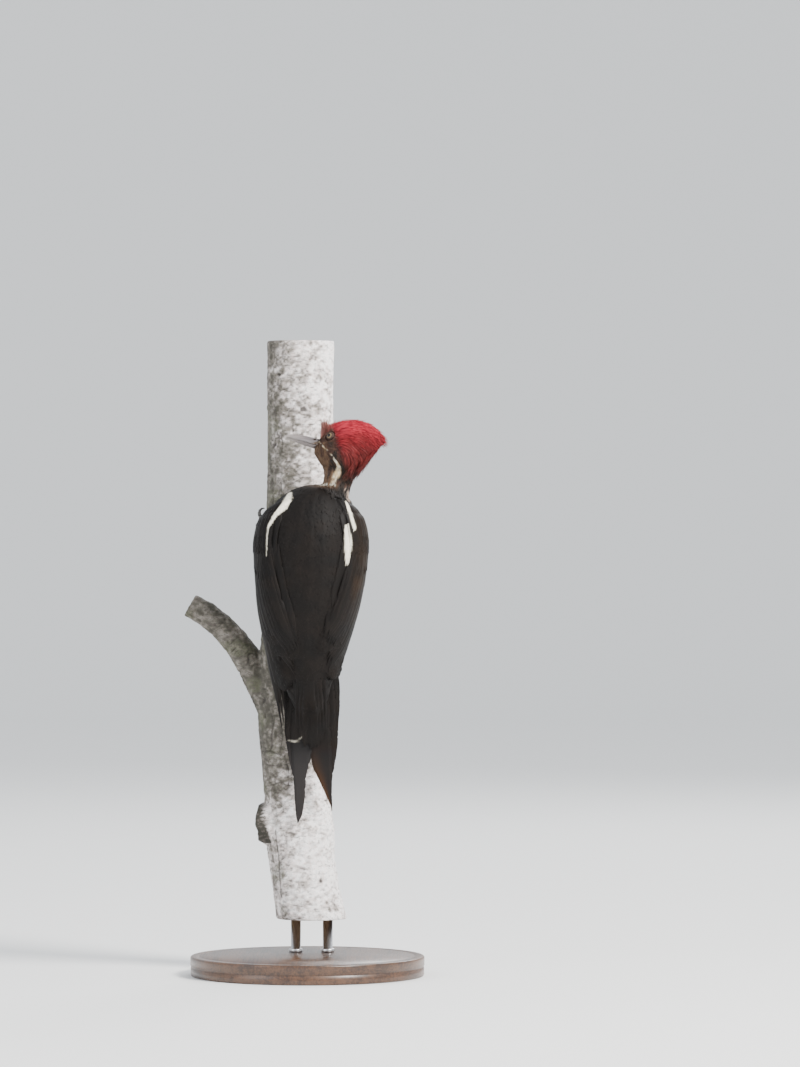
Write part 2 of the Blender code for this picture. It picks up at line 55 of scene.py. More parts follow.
class Socket:
    def __init__(self, paint, source):
        self.paint, self.source = paint, source

    def math(self, operation, first, second=0.0):
        return self.paint.node("Math", {"operation": operation}, {0: first, 1: second})

    def __add__(self, other):
        return self.math("ADD", self, other)

    def __radd__(self, other):
        return self.math("ADD", other, self)

    def __sub__(self, other):
        return self.math("SUBTRACT", self, other)

    def __rsub__(self, other):
        return self.math("SUBTRACT", other, self)

    def __mul__(self, other):
        return self.math("MULTIPLY", self, other)

    def __rmul__(self, other):
        return self.math("MULTIPLY", other, self)

    def __abs__(self):
        return self.math("ABSOLUTE", self)

    def sine(self):
        return self.math("SINE", self)

    def step(self, low, high):  # 0 below low, 1 above high, smooth between
        sockets = {"Value": self, "From Min": low, "From Max": high}
        return self.paint.node("MapRange", {"interpolation_type": "SMOOTHSTEP"}, sockets)


class Paint:
    # One material. Fixed values go straight onto the shader's sockets, and feed() links what varies.
    def __init__(self, name, **fixed):
        self.material = bpy.data.materials.new(name)
        self.material.use_nodes = True
        self.tree = self.material.node_tree
        self.shader = self.tree.nodes["Principled BSDF"]
        for key, value in fixed.items():
            self.shader.inputs[key.replace("_", " ")].default_value = value

    def node(self, kind, settings=None, sockets=None, out=0):
        made = self.tree.nodes.new("ShaderNode" + kind)
        for key, value in (settings or {}).items():
            if key == "stops":
                self.setStops(made.color_ramp, value)
            else:
                setattr(made, key, value)
        for key, value in (sockets or {}).items():
            if isinstance(value, Socket):
                self.tree.links.new(value.source, made.inputs[key])
            else:
                made.inputs[key].default_value = value
        return Socket(self, made.outputs[out])

    def setStops(self, ramp, stops):
        while len(ramp.elements) < len(stops):
            ramp.elements.new(0.5)
        for element, (place, colour) in zip(ramp.elements, stops):
            element.position = place
            element.color = (*colour, 1)

    def vector(self, operation, first, second=(0, 0, 0), out=0):
        return self.node("VectorMath", {"operation": operation}, {0: first, 1: second}, out)

    def place(self, stretch=(1, 1, 1)):  # a point's own place, scaled along each axis
        return self.vector("MULTIPLY", self.node("TexCoord", out="Object"), stretch)

    def tint(self):  # the colours that the mesh itself carries
        return self.node("VertexColor", {"layer_name": "plumage"})

    def noise(self, where, size, detail=4.0, rough=0.55):  # lumps about this many metres across
        sockets = {"Vector": where, "Scale": 1 / size, "Detail": detail, "Roughness": rough}
        return self.node("TexNoise", None, sockets)

    def mix(self, factor, first, second, blend="MIX"):
        first, second = (some if isinstance(some, Socket) else (*some, 1) for some in (first, second))
        settings = {"data_type": "RGBA", "blend_type": blend}
        return self.node("Mix", settings, {0: factor, 6: first, 7: second}, out=2)

    def feed(self, key, value):
        self.tree.links.new(value.source, self.shader.inputs[key])

    def bump(self, height, distance, strength=1.0):
        sockets = {"Height": height, "Distance": distance, "Strength": strength}
        self.feed("Normal", self.node("Bump", None, sockets))


# Number helpers

def unit(vectors):
    return vectors / np.maximum(np.linalg.norm(vectors, axis=-1, keepdims=True), 1e-12)


def flattened(vectors, normals):  # what is left of them across the normals, as unit vectors
    return unit(vectors - normals * np.sum(vectors * normals, -1, keepdims=True))


def smooth(low, high, value):
    share = np.clip((value - low) / (high - low), 0, 1)
    return share * share * (3 - 2 * share)


def bell(width, value):
    return np.exp(-((value / width) ** 2))


def blend(first, second, share):
    first, second = np.asarray(first), np.asarray(second)
    return first + (second - first) * np.asarray(share)[..., None]


def stacked(*columns):
    return np.stack(np.broadcast_arrays(*columns), -1)


def fromTable(table, at):
    # a table's other columns, each read off at these values of its first one
    table = np.array(sorted(table))
    return [np.interp(at, table[:, 0], column) for column in table.T[1:]]


lattice = np.random.default_rng(5).random((32, 32, 32)) * 2 - 1


def noise(points, size, seed=0):
    # smooth random numbers from -1 to 1, in lumps of about this size (one number, or one for each axis)
    at = points / np.asarray(size) + 7.31 * (seed + 1)
    cell = np.floor(at).astype(int)
    share = smooth(0, 1, at - cell)
    total = 0
    for corner in np.ndindex(2, 2, 2):
        weight = np.prod(np.where(np.array(corner) == 1, share, 1 - share), axis=-1)
        x, y, z = np.moveaxis((cell + corner) % 32, -1, 0)
        total = total + weight * lattice[x, y, z]
    return total


# Mesh helpers

def pointsOf(mesh):
    found = np.empty(len(mesh.vertices) * 3, np.float32)
    mesh.vertices.foreach_get("co", found)
    return found.reshape(-1, 3).astype(float)


def makeObject(name, data):
    made = bpy.data.objects.new(name, data)
    bpy.context.scene.collection.objects.link(made)
    return made


def makeMesh(name, points, faces):
    # faces is a list of arrays of point numbers
    mesh = bpy.data.meshes.new(name)
    corners = np.concatenate([some.ravel() for some in faces]).astype(np.int32)
    sizes = np.concatenate([np.full(len(some), some.shape[1]) for some in faces])
    mesh.vertices.add(len(points))
    mesh.vertices.foreach_set("co", np.ascontiguousarray(points, np.float32).ravel())
    mesh.loops.add(len(corners))
    mesh.loops.foreach_set("vertex_index", corners)
    mesh.polygons.add(len(sizes))
    mesh.polygons.foreach_set("loop_start", (np.cumsum(sizes) - sizes).astype(np.int32))
    mesh.update(calc_edges=True)
    return mesh, corners


def addPiece(name, points, faces, paint, colours=None, maps=None, stands=()):
    # colours and maps have one row for each point; stands names the solids that the piece replaces
    mesh, corners = makeMesh(name, points, faces)
    if colours is not None:
        layer = mesh.color_attributes.new("plumage", "FLOAT_COLOR", "POINT")
        filled = np.ones((len(points), 4), np.float32)
        filled[:, :3] = colours
        layer.data.foreach_set("color", filled.ravel())
    for key, places in (maps or {}).items():
        layer = mesh.uv_layers.new(name=key)
        layer.uv.foreach_set("vector", np.ascontiguousarray(places[corners], np.float32).ravel())
    mesh.materials.append(paint.material)
    mesh.shade_smooth()
    piece = makeObject(name, mesh)
    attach(piece, "root")
    if stands:
        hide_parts(*stands)
    return piece


def gridFaces(rows, columns, wrap=False):
    across = np.arange(columns if wrap else columns - 1)
    low = np.arange(rows - 1)[:, None] * columns + across
    nextOver = (across + 1) % columns - across
    return np.stack([low, low + nextOver, low + nextOver + columns, low + columns], -1).reshape(-1, 4)


def fan(hub, ring):
    return stacked(hub, ring, np.roll(ring, -1))


def capped(rings, first, last):
    # a tube of rings, closed at both ends round a point
    rows, columns = rings.shape[:2]
    count, ring = rows * columns, np.arange(columns)
    ends = [fan(count, ring)[:, [0, 2, 1]], fan(count + 1, count - columns + ring)]
    faces = [gridFaces(rows, columns, wrap=True), *ends]
    return np.concatenate([rings.reshape(-1, 3), [first, last]]), faces


def turned(profile, centre, count):
    # a profile of (radius, height) turned round an upright axis
    turn = np.linspace(0, fullTurn, count, endpoint=False)
    radius, height = np.array(profile).T[..., None]
    return stacked(centre[0] + radius * np.cos(turn), centre[1] + radius * np.sin(turn), height)


def lathe(name, profile, centre, count, paint, stands):
    # the profile starts and ends on the axis
    ends = [(*centre, profile[k][1]) for k in (0, -1)]
    points, faces = capped(turned(profile[1:-1], centre, count), *ends)
    return addPiece(name, points, faces, paint, stands=stands)


# Camera, floor and lights

view = {
    "place": (0.075, -4.05, 0.358),  # level with the bird's shoulders, straight behind it
    "lens": 168.6,
    "sensor": 36,
    "reach": (0.1, 40),
    "floorColours": ((0.86, 0.86, 0.845), (0.72, 0.72, 0.71)),
    "floorRadius": 5.5,
    "wallHeight": 4.5,
    "lights": (  # place, size, power and colour
        ("keyLight", (1.7, -1.6, 2.1), 1.0, 185, (1.0, 0.98, 0.95)),
        ("fillLight", (-2.2, -1.8, 1.2), 1.8, 24, (0.92, 0.96, 1.0)),
        ("rimLight", (0.8, 2.2, 1.8), 1.2, 34, (1.0, 1.0, 1.0)),
    ),
    "aim": (0, 0, 0.3),
    "sky": (0.90, 0.94, 1.0, 1),
    "skyStrength": 1.22,
}


def makeCamera():
    lens = bpy.data.cameras.new("camera")
    lens.lens, lens.sensor_width = view["lens"], view["sensor"]
    lens.clip_start, lens.clip_end = view["reach"]
    camera = makeObject("camera", lens)
    camera.location = view["place"]
    camera.rotation_euler = (math.radians(90), 0, 0)
    bpy.context.scene.camera = camera


def makeStage():
    # a flat floor that curves up into a wall all round, so that no horizon shows from any side
    radius, height = view["floorRadius"], view["wallHeight"]
    bend = np.linspace(0, math.pi / 2, 24)
    rise = [(radius + height * np.sin(b), height * (1 - np.cos(b))) for b in bend]
    profile = [(0.02, 0), (1.0, 0), (3.0, 0)] + rise
    rings = turned(profile, (0, 0), 96)
    rows, columns = rings.shape[:2]
    points = np.concatenate([rings.reshape(-1, 3), [[0, 0, 0]]])
    faces = [gridFaces(rows, columns, wrap=True), fan(rows * columns, np.arange(columns))]
    paint = Paint("floorPaint", Roughness=0.9)
    tone = paint.noise(paint.place(), 0.4, 3)
    paint.feed("Base Color", paint.mix(tone * 0.06, *view["floorColours"]))
    mesh, _ = makeMesh("floor", points, faces)
    mesh.materials.append(paint.material)
    mesh.shade_smooth()
    makeObject("floor", mesh)

    world = bpy.data.worlds.new("studio")
    world.use_nodes = True
    sky = world.node_tree.nodes["Background"]
    sky.inputs["Color"].default_value = view["sky"]
    sky.inputs["Strength"].default_value = view["skyStrength"]
    bpy.context.scene.world = world


def addLight(name, place, size, power, colour):
    lamp = bpy.data.lights.new(name, "AREA")
    lamp.shape, lamp.size = "DISK", size
    lamp.energy, lamp.color = power, colour
    light = makeObject(name, lamp)
    light.location = place
    light.rotation_euler = (Vector(view["aim"]) - Vector(place)).to_track_quat("-Z", "Y").to_euler()


makeCamera()
makeStage()
for row in view["lights"]:
    addLight(*row)
print("camera, stage and lights made")


# The head's own axes, from the eyes and the bill: x along the head to the bill, y to the bird's left, z up

headForm = {"billDrop": 9}  # degrees that the bill points below the head's own axis
bodyAxis = (0.0035, -0.045)  # where the body's own upright axis stands


def middleOf(node):
    low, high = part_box(node)
    return np.array((low + high) / 2)


def headAxes():
    bill = np.concatenate([pointsOf(nodes[name].data) for name in ("bill_upper", "bill_lower")])
    left, right = middleOf("eye_left"), middleOf("eye_right")
    between = (left + right) / 2
    tip = bill[np.argmax(np.linalg.norm(bill - between, axis=1))]
    along = (bill - between) @ unit(tip - between)
    root = bill[along < along.min() + 1.2 * mm].mean(0)
    ahead = unit(tip - root)
    sideways = flattened(unit(left - right), ahead)
    up = np.cross(ahead, sideways)
    drop = math.radians(headForm["billDrop"])
    forward = ahead * math.cos(drop) + up * math.sin(drop)
    return root, np.array([ahead, sideways, up]), np.array([forward, sideways, np.cross(forward, sideways)])


headRoot, billAxes, headFrame = headAxes()


def toHead(points):
    return (points - headRoot) @ headFrame.T


def fromBill(points):
    return points @ billAxes + headRoot


def onCrown(points):  # how far behind the line where the red crest starts, in metres
    x, _, z = toHead(points).T
    return -x - 8.7 * mm - 0.667 * (21.2 * mm - z)


def eyeDistance(points):
    return np.min([np.linalg.norm(points - middleOf("eye_" + side), axis=1) for side in bothSides], axis=0)


# Markings: one function gives the colour of skin and feathers alike

plumage = {
    "black": (0.0048, 0.0040, 0.0037),
    "brownBlack": (0.0105, 0.0070, 0.0052),
    # painted sheen: warm brown on the lit edge of the right wing
    "paintedSheenBrown": (0.0190, 0.0105, 0.0050),
    "cream": (0.95, 0.89, 0.73),
    "buff": (0.62, 0.44, 0.24),
    "redTop": (0.490, 0.026, 0.048),
    "red": (0.225, 0.012, 0.017),
    "deepRed": (0.095, 0.010, 0.009),
    "nape": (0.030, 0.012, 0.009),
    "forehead": (0.250, 0.110, 0.095),
    "throat": (0.135, 0.076, 0.042),
    "cheek": (0.050, 0.022, 0.014),
    "maroon": (0.060, 0.014, 0.010),
    "face": (0.098, 0.040, 0.024),
    "bareSkin": (0.040, 0.021, 0.015),
    "legSkin": (0.105, 0.098, 0.090),
    "bristle": (0.170, 0.115, 0.080),
    # how the crest goes from nape to bright red, partly its own colour and partly painted light that is
    # brightest on top: colour, and the heights where it starts and is full
    "redByHeight": (("deepRed", 0.401, 0.415), ("red", 0.415, 0.440), ("redTop", 0.431, 0.449)),
    # the pale braces down the back: rows of height, left edge, right edge
    "leftBrace": (
        (0.3400, -0.0313, -0.0310), (0.3520, -0.0315, -0.0308), (0.3624, -0.0306, -0.0292),
        (0.3652, -0.0296, -0.0274), (0.3716, -0.0266, -0.0232), (0.3740, -0.0250, -0.0198),
        (0.3759, -0.0238, -0.0180), (0.3775, -0.0226, -0.0150), (0.3815, -0.0196, -0.0136),
        (0.3830, -0.0186, -0.0120), (0.3880, -0.0160, -0.0114), (0.3905, -0.0142, -0.0120),
    ),
    "rightBraceHigh": (
        (0.3606, 0.0383, 0.0393), (0.3630, 0.0369, 0.0395), (0.3720, 0.0346, 0.0371),
        (0.3805, 0.0322, 0.0344), (0.3840, 0.0311, 0.0322),
    ),
    "rightBraceLow": (
        (0.3335, 0.0317, 0.0331), (0.3400, 0.0312, 0.0347), (0.3450, 0.0309, 0.0360),
        (0.3500, 0.0309, 0.0366), (0.3560, 0.0307, 0.0358), (0.3600, 0.0306, 0.0347),
        (0.3650, 0.0311, 0.0334),
    ),
    # the pale line from the bill down the side of the neck, in the head's axes: x, z, half width
    "cheekLine": (
        (0.0010, 0.0004, 0.0004), (-0.0045, 0.0006, 0.0005), (-0.0092, -0.0012, 0.0005),
        (-0.0124, -0.0030, 0.0006), (-0.0166, -0.0042, 0.0006), (-0.0202, -0.0064, 0.0007),
        (-0.0224, -0.0090, 0.0008), (-0.0252, -0.0112, 0.0010), (-0.0270, -0.0142, 0.0016),
        (-0.0270, -0.0190, 0.0024), (-0.0260, -0.0230, 0.0026), (-0.0244, -0.0262, 0.0021),
    ),
    "jawPatch": (  # the dark patch in front of the pale line
        (-0.0206, -0.0070, 0.0006), (-0.0201, -0.0110, 0.0018), (-0.0198, -0.0163, 0.0023),
        (-0.0193, -0.0225, 0.0017), (-0.0188, -0.0262, 0.0008),
    ),
    # thin pale marks where feathers part: x, height, half width
    "collar": ((0.0095, 0.3964, 0.0001), (0.0150, 0.3971, 0.0005), (0.0235, 0.3971, 0.0005)),
    "rumpMark": (
        (-0.0146, 0.1912, 0.0001), (-0.0122, 0.1902, 0.0004), (-0.0098, 0.1899, 0.0006),
        (-0.0076, 0.1905, 0.0005), (-0.0058, 0.1918, 0.0003), (-0.0044, 0.1938, 0.0002),
    ),
    "shoulderMark": ((0.0318, 0.3925, 0.0012), (0.0334, 0.3885, 0.0022), (0.0345, 0.3850, 0.0010)),
}
colour = {key: np.array(value) for key, value in plumage.items() if np.ndim(value) == 1}


def inRows(points, rows, soft=0.35 * mm):
    # how far inside a band down the back: rows of height, left edge, right edge
    x, y, z = points.T
    low, high = fromTable(rows, z)
    inside = smooth(-soft, soft, x - low) * smooth(-soft, soft, high - x)
    return inside * (z > rows[0][0]) * (z < rows[-1][0]) * (y < bodyAxis[1])


def alongLine(places, line, soft=0.5 * mm):
    # how far inside a line with a half width at each of its bends
    best = -1.0
    for start, end in zip(np.array(line), np.array(line[1:])):
        step = end[:2] - start[:2]
        share = np.clip(((places - start[:2]) @ step) / (step @ step), 0, 1)
        off = np.linalg.norm(places - start[:2] - share[:, None] * step, axis=1)
        best = np.maximum(best, start[2] + (end[2] - start[2]) * share - off)
    return smooth(-soft, soft, best)


def plumageColour(points):
    tone = noise(points, 9 * mm, 1)
    base = blend(colour["black"], colour["brownBlack"], 0.35 + 0.35 * tone)

    # flanks and belly: buff, barred with black
    x, y, z = points.T
    behind = stacked(x, z)
    belly = smooth(-0.034, -0.022, y) * smooth(0.372, 0.350, z) * smooth(0.242, 0.262, z)
    wobble = 2.2 * mm * noise(points, 8 * mm, 2)
    bars = smooth(-0.25, 0.25, np.sin((z + wobble) * 2 * math.pi / (6.2 * mm)))
    base = blend(base, blend(colour["buff"] * 0.9, colour["black"], bars), belly)
    # painted sheen: the edge of the right wing, turned to the light, is painted warm brown
    wearAndSheen = smooth(0.034, 0.040, x) * smooth(0.385, 0.365, z)
    wearAndSheen = wearAndSheen * smooth(0.270, 0.310, z) * smooth(-0.020, -0.040, y)
    base = blend(base, colour["paintedSheenBrown"], wearAndSheen * (0.6 + 0.4 * tone))

    for name in ("leftBrace", "rightBraceHigh", "rightBraceLow"):
        base = blend(base, colour["cream"], inRows(points, plumage[name]))
    rump = alongLine(behind, plumage["rumpMark"], 0.3 * mm) * (y < 0.01)
    base = blend(base, colour["cream"] * 0.5, 0.7 * rump)

    # head and neck, in the head's own axes
    hx, hy, hz = toHead(points).T
    beside = stacked(hx, hz)
    faceTone = noise(points, 3 * mm, 3)
    streaks = noise(points, (1.6 * mm, 1.6 * mm, 6 * mm), 4)
    face = blend(colour["face"], colour["cheek"], smooth(-0.4, 0.4, faceTone))
    throat = blend(colour["throat"], colour["cheek"], 0.8 * smooth(-0.1, 0.6, streaks))
    face = blend(face, throat, smooth(0.0005, -0.0030, hz + 0.30 * hx))
    jaw = smooth(-0.0135, -0.0165, hx - 0.55 * (hz + 0.004)) * smooth(0.001, -0.003, hz + 0.3 * hx)
    jaw = np.maximum(jaw, alongLine(beside, plumage["jawPatch"], 1.0 * mm) * smooth(-0.9, -0.1, faceTone))
    face = blend(face, blend(colour["black"], colour["cheek"], smooth(-0.2, 0.5, faceTone)), jaw * 0.9)
    brow = smooth(3 * mm, 9 * mm, hz + 0.25 * hx) * (0.65 + 0.35 * np.clip(1.5 * faceTone, -1, 1))
    face = blend(face, colour["forehead"], brow)

    red = onCrown(points) + 1.0 * mm * faceTone
    height = z + 3 * mm * noise(points, 6 * mm, 6) - 3 * mm * smooth(7 * mm, 0, red)
    crest = colour["nape"]
    # the crest's red, its own colour deepening towards the nape, with painted light making it brightest on
    # top
    for key, low, high in plumage["redByHeight"]:
        crest = blend(crest, colour[key], smooth(low, high, height))
    crest = blend(colour["maroon"], crest, smooth(0.5 * mm, 5.5 * mm, red + 7 * mm * smooth(0.432, 0.440, z)))
    face = blend(face, crest, smooth(-2.4 * mm, 1.8 * mm, red))

    broken = smooth(-0.10, 0.20, noise(points, 2.4 * mm, 40) + 0.7 * smooth(-0.0215, -0.0250, hx))
    line = alongLine(beside, plumage["cheekLine"]) * broken
    lower = 0.60 + 0.45 * smooth(-0.0130, -0.0210, hz)
    buffShare = np.clip(lower + 0.8 * noise(points, 2.5 * mm, 7), 0, 1)
    pale = blend(colour["cream"] * 0.8, colour["buff"] * 0.85, buffShare)
    face = blend(face, pale, line * (np.abs(hy) > 2.5 * mm))
    base = blend(base, face, smooth(0.3925, 0.3975, z + 0.12 * (x - 0.020)))
    marks = alongLine(behind, plumage["collar"], 0.3 * mm) * smooth(-0.040, -0.046, y)
    flecks = smooth(0.35, -0.1, noise(points, 2.2 * mm, 41))
    shoulder = alongLine(behind, plumage["shoulderMark"], 1.0 * mm) * flecks
    base = blend(base, colour["cream"] * 0.8, 0.7 * marks)
    return blend(base, colour["cream"] * np.array([0.75, 0.60, 0.58]), 0.75 * shoulder)


# Skin: one surface in place of every node of flesh

skinForm = {
    "voxel": 0.8 * mm,
    "coatDepth": 1.2 * mm,
    "scuteStep": 1.35 * mm,
    "scuteDepth": 0.13 * mm,
    "orbit": 0.45 * mm,
    "neckTaper": ((0.398, 1.0), (0.404, 0.90), (0.408, 0.77), (0.412, 0.70), (0.417, 0.56), (0.4205, 0.52)),
    "chin": (  # height, where the throat's front edge lies, and how far it comes forward
        (0.402, 0.0150, 0.0), (0.406, 0.0155, 0.0005), (0.411, 0.0155, 0.0018), (0.416, 0.0130, 0.0022),
        (0.4206, 0.0101, 0.0021), (0.423, 0.0098, 0.0025), (0.427, 0.0088, 0.0026), (0.431, 0.0085, 0.0),
    ),
    "chinWay": (-0.862, 0.0, -0.506),
}
legNodes = [part + side for part in ("shank_", "foot_") for side in bothSides]
wingParts = ("wing_coverts_", "wing_secondaries_", "wing_primaries_")
wingNodes = [part + side for part in wingParts for side in bothSides]
bodyNodes = ["torso", "neck", "head", "crest", "tail_coverts_upper", "tail_coverts_lower"]
bodyNodes += ["thigh_" + side for side in bothSides]
fleshNodes = bodyNodes + wingNodes + legNodes


def joinNodes(names):
    # points, triangles and the node that each triangle comes from
    points, faces, owner = [], [], []
    count = 0
    for number, name in enumerate(names):
        mesh = nodes[name].data
        mesh.calc_loop_triangles()
        corners = np.empty(len(mesh.loop_triangles) * 3, np.int32)
        mesh.loop_triangles.foreach_get("vertices", corners)
        points.append(pointsOf(mesh))
        faces.append(corners.reshape(-1, 3) + count)
        owner.append(np.full(len(faces[-1]), number))
        count += len(points[-1])
    return np.concatenate(points), np.concatenate(faces), np.concatenate(owner)


def remeshed(points, faces, voxel, smoothing):
    draft = makeObject("draft", makeMesh("draft", points, [faces])[0])
    modifier = draft.modifiers.new("remesh", "REMESH")
    modifier.mode, modifier.voxel_size = "VOXEL", voxel
    modifier = draft.modifiers.new("smooth", "SMOOTH")
    modifier.factor, modifier.iterations = 0.5, smoothing
    bpy.context.view_layer.update()
    made = bpy.data.meshes.new_from_object(draft.evaluated_get(bpy.context.evaluated_depsgraph_get()))
    bpy.data.objects.remove(draft)
    corners = np.empty(len(made.loops), np.int32)
    made.loops.foreach_get("vertex_index", corners)
    found = pointsOf(made), corners.reshape(-1, 4)  # a voxel remesh is all four-sided faces
    bpy.data.meshes.remove(made)
    return found


def pointNormals(points, quads):
    across = np.cross(points[quads[:, 2]] - points[quads[:, 0]], points[quads[:, 3]] - points[quads[:, 1]])
    total = np.zeros_like(points)
    for corner in range(quads.shape[1]):
        np.add.at(total, quads[:, corner], across)
    return unit(total)


def nearest(tree, points):
    hits = [tree.find_nearest(point) for point in points.tolist()]
    return np.array([hit[0] for hit in hits]), np.array([hit[2] for hit in hits])


cadPoints, cadFaces, cadOwner = joinNodes(fleshNodes)
hullPoints, skinQuads = remeshed(cadPoints, cadFaces, skinForm["voxel"], 6)
hullNormals = pointNormals(hullPoints, skinQuads)
cadTree = BVHTree.FromPolygons(cadPoints.tolist(), cadFaces.tolist())
skinNode = np.array(fleshNodes)[cadOwner[nearest(cadTree, hullPoints)[1]]]
print("hull made:", len(skinQuads), "faces")


def evenOut(values, share, rounds):
    # averages each point's values with its neighbours', as much as its share says
    count = np.bincount(skinQuads.ravel(), minlength=len(values))[:, None]
    share = np.asarray(share, float)[:, None]
    for _ in range(rounds):
        around = np.zeros_like(values)
        for a, b in ((0, 1), (1, 2), (2, 3), (3, 0)):
            for k in range(values.shape[1]):
                around[:, k] += np.bincount(skinQuads[:, a], values[skinQuads[:, b], k], len(values))
        values = values + share * 0.5 * (around / np.maximum(count, 1) - values)
    return values


def sinkSkin():
    # moves the hull in by the coat's depth, less where the body is thin and not at all on the legs
    tree = BVHTree.FromPolygons(hullPoints.tolist(), skinQuads.tolist())
    inwards = -hullNormals
    starts = hullPoints + inwards * 0.05 * mm
    hits = [tree.ray_cast(start, way, 0.02)[3] for start, way in zip(starts.tolist(), inwards.tolist())]
    depth = np.array([0.02 if hit is None else hit for hit in hits])
    onLeg = np.isin(skinNode, legNodes)
    sink = np.where(onLeg, 0, np.minimum(skinForm["coatDepth"], 0.3 * depth))
    points = hullPoints + inwards * evenOut(sink[:, None], ~onLeg, 12)
    # the far side of the neck tapers up into the head, and the skin swells a little round the eyes
    x, y, z = points.T
    taper = fromTable(skinForm["neckTaper"], z)[0]
    points[:, 1] = np.where((y > -0.046) & (z < 0.4205), -0.046 + (y + 0.046) * taper, y)
    behindChin = smooth(0.401, 0.407, z) * smooth(0.429, 0.421, z) * smooth(-0.050, -0.045, y)
    points = evenOut(points, behindChin, 30)
    for sign, side in ((1, "left"), (-1, "right")):
        off = np.linalg.norm(points - middleOf("eye_" + side), axis=1)
        points = points + sign * headFrame[1] * (skinForm["orbit"] * bell(6 * mm, off))[:, None]
    # the feathers under the tail lie against it
    points[:, 1] -= 3.2 * mm * smooth(0.258, 0.237, z) * (skinNode == "tail_coverts_lower")
    # the creases behind the folded wings' tips are filled, and the chin is a little fuller
    crease = smooth(0.222, 0.232, z) * smooth(0.285, 0.262, z) * ~onLeg
    points = evenOut(points, crease, 40)
    edge, push = fromTable(skinForm["chin"], z)
    middle = bell(5.0 * mm, toHead(points)[:, 1]) * np.isin(skinNode, ["head", "neck"])
    push = push * middle * smooth(8 * mm, 1 * mm, points[:, 0] - edge)
    return points + np.array(skinForm["chinWay"]) * push[:, None]


skinPoints = sinkSkin()
skinNormals = pointNormals(skinPoints, skinQuads)
skinTree = BVHTree.FromPolygons(skinPoints.tolist(), skinQuads.tolist())


def ontoSkin(points):
    # the skin's nearest place to each point, with its outward direction there
    flat = points.reshape(-1, 3)
    places, faces = nearest(skinTree, flat)
    outwards = unit(skinNormals[skinQuads[faces]].mean(1))
    return places.reshape(points.shape), outwards.reshape(points.shape)


def makeSkin():
    build = bmesh.new()
    mesh, _ = makeMesh("draft", skinPoints, [skinQuads])
    build.from_mesh(mesh)
    eyes = [Vector(middleOf("eye_" + side)) for side in bothSides]
    onLeg = set(np.flatnonzero(np.isin(skinNode, legNodes)).tolist())
    nearLeg = [face for face in build.faces if any(vert.index in onLeg for vert in face.verts)]
    for faces in (nearLeg, None, None):  # twice round the eyes
        if faces is None:
            off = [min((face.calc_center_median() - eye).length for eye in eyes) for face in build.faces]
            faces = [face for face, away in zip(build.faces, off) if away < 6.8 * mm]
        edges = list({edge for face in faces for edge in face.edges})
        bmesh.ops.subdivide_edges(build, edges=edges, cuts=1, use_grid_fill=True, smooth=0.0)
    build.normal_update()
    points = np.array([vert.co for vert in build.verts])
    outwards = np.array([vert.normal for vert in build.verts])
    bare = smooth(5.6 * mm, 4.6 * mm, eyeDistance(points))
    colours = blend(plumageColour(points), colour["bareSkin"], bare)

    # scutes: rings across the shanks and toes
    ankles = [(middleOf("shank_" + side) + middleOf("foot_" + side)) / 2 for side in bothSides]
    onLeg = np.isin(np.array(fleshNodes)[cadOwner[nearest(cadTree, points)[1]]], legNodes)
    along = np.min([np.linalg.norm(points - ankle, axis=1) for ankle in ankles], axis=0)
    ring = np.abs(np.sin(math.pi * along / skinForm["scuteStep"] + 0.8 * noise(points, 3 * mm, 8)))
    crease = 1 - smooth(0.0, 0.35, ring)
    points = points - outwards * (onLeg * crease * skinForm["scuteDepth"])[:, None]
    leg = colour["legSkin"] * (1 - 0.6 * crease[:, None]) * (1 + 0.25 * noise(points, 2 * mm, 9)[:, None])
    colours = blend(colours, leg, onLeg)

    faces = [[vert.index for vert in face.verts] for face in build.faces]
    build.free()
    fours = [face for face in faces if len(face) == 4]
    threes = [face for face in faces if len(face) == 3]
    for face in faces:
        if len(face) > 4:
            threes += [[face[0], face[k], face[k + 1]] for k in range(1, len(face) - 1)]
    paint = Paint("skinPaint", Roughness=0.62)
    pores = paint.noise(paint.place(), 0.5 * mm, 3)
    paint.feed("Base Color", paint.mix(0.35 * pores, paint.tint(), (0.5, 0.45, 0.42), "MULTIPLY"))
    paint.bump(pores, 0.08 * mm, 0.6)
    faces = [np.array(fours), np.array(threes).reshape(-1, 3)]
    addPiece("skin", points, faces, paint, colours, stands=fleshNodes)
    bpy.data.meshes.remove(mesh)


makeSkin()
print("skin made")


# Lie of the coat

def lieOf(points):
    # which way feathers point, before they are laid flat on the skin
    x, y, z = points.T
    hx, hy, hz = toHead(points).T
    outwards = unit(stacked(x - 0.020, y - bodyAxis[1], 0))
    body = np.array([0, 0, -1]) + outwards * (1.3 * smooth(0.372, 0.392, z))[:, None]
    neck = np.array([-0.10, 0.0, -1.0])

    # the crown sweeps back to the crest's tip, and the nape hangs down behind
    ahead, above = hx + 20 * mm, hz + 4 * mm
    swirl = unit(stacked(-above, 0, ahead)) + 0.75 * unit(stacked(ahead, 0, above))
    face = stacked(-1, 0, -0.25 - 0.5 * smooth(0.002, -0.008, hz))
    head = blend(face, swirl, smooth(0.0, 3 * mm, onCrown(points))) @ headFrame
    lie = blend(body, neck, smooth(0.390, 0.398, z))
    lie = blend(lie, head, smooth(0.408, 0.418, z - 0.25 * (x - 0.030)))
    return unit(lie)


def march(roots, lengths, steps, sway):
    # middle lines of feathers: from each root, steps along the lie of the coat, turned by sway
    places, outwards = ontoSkin(roots)
    paths, ups = [places], [outwards]
    for _ in range(steps):
        lie = flattened(lieOf(places), outwards)
        lie = lie * np.cos(sway)[:, None] + np.cross(outwards, lie) * np.sin(sway)[:, None]
        places, outwards = ontoSkin(places + lie * (lengths / steps)[:, None])
        paths.append(places)
        ups.append(outwards)
    return np.stack(paths, 1), np.stack(ups, 1)


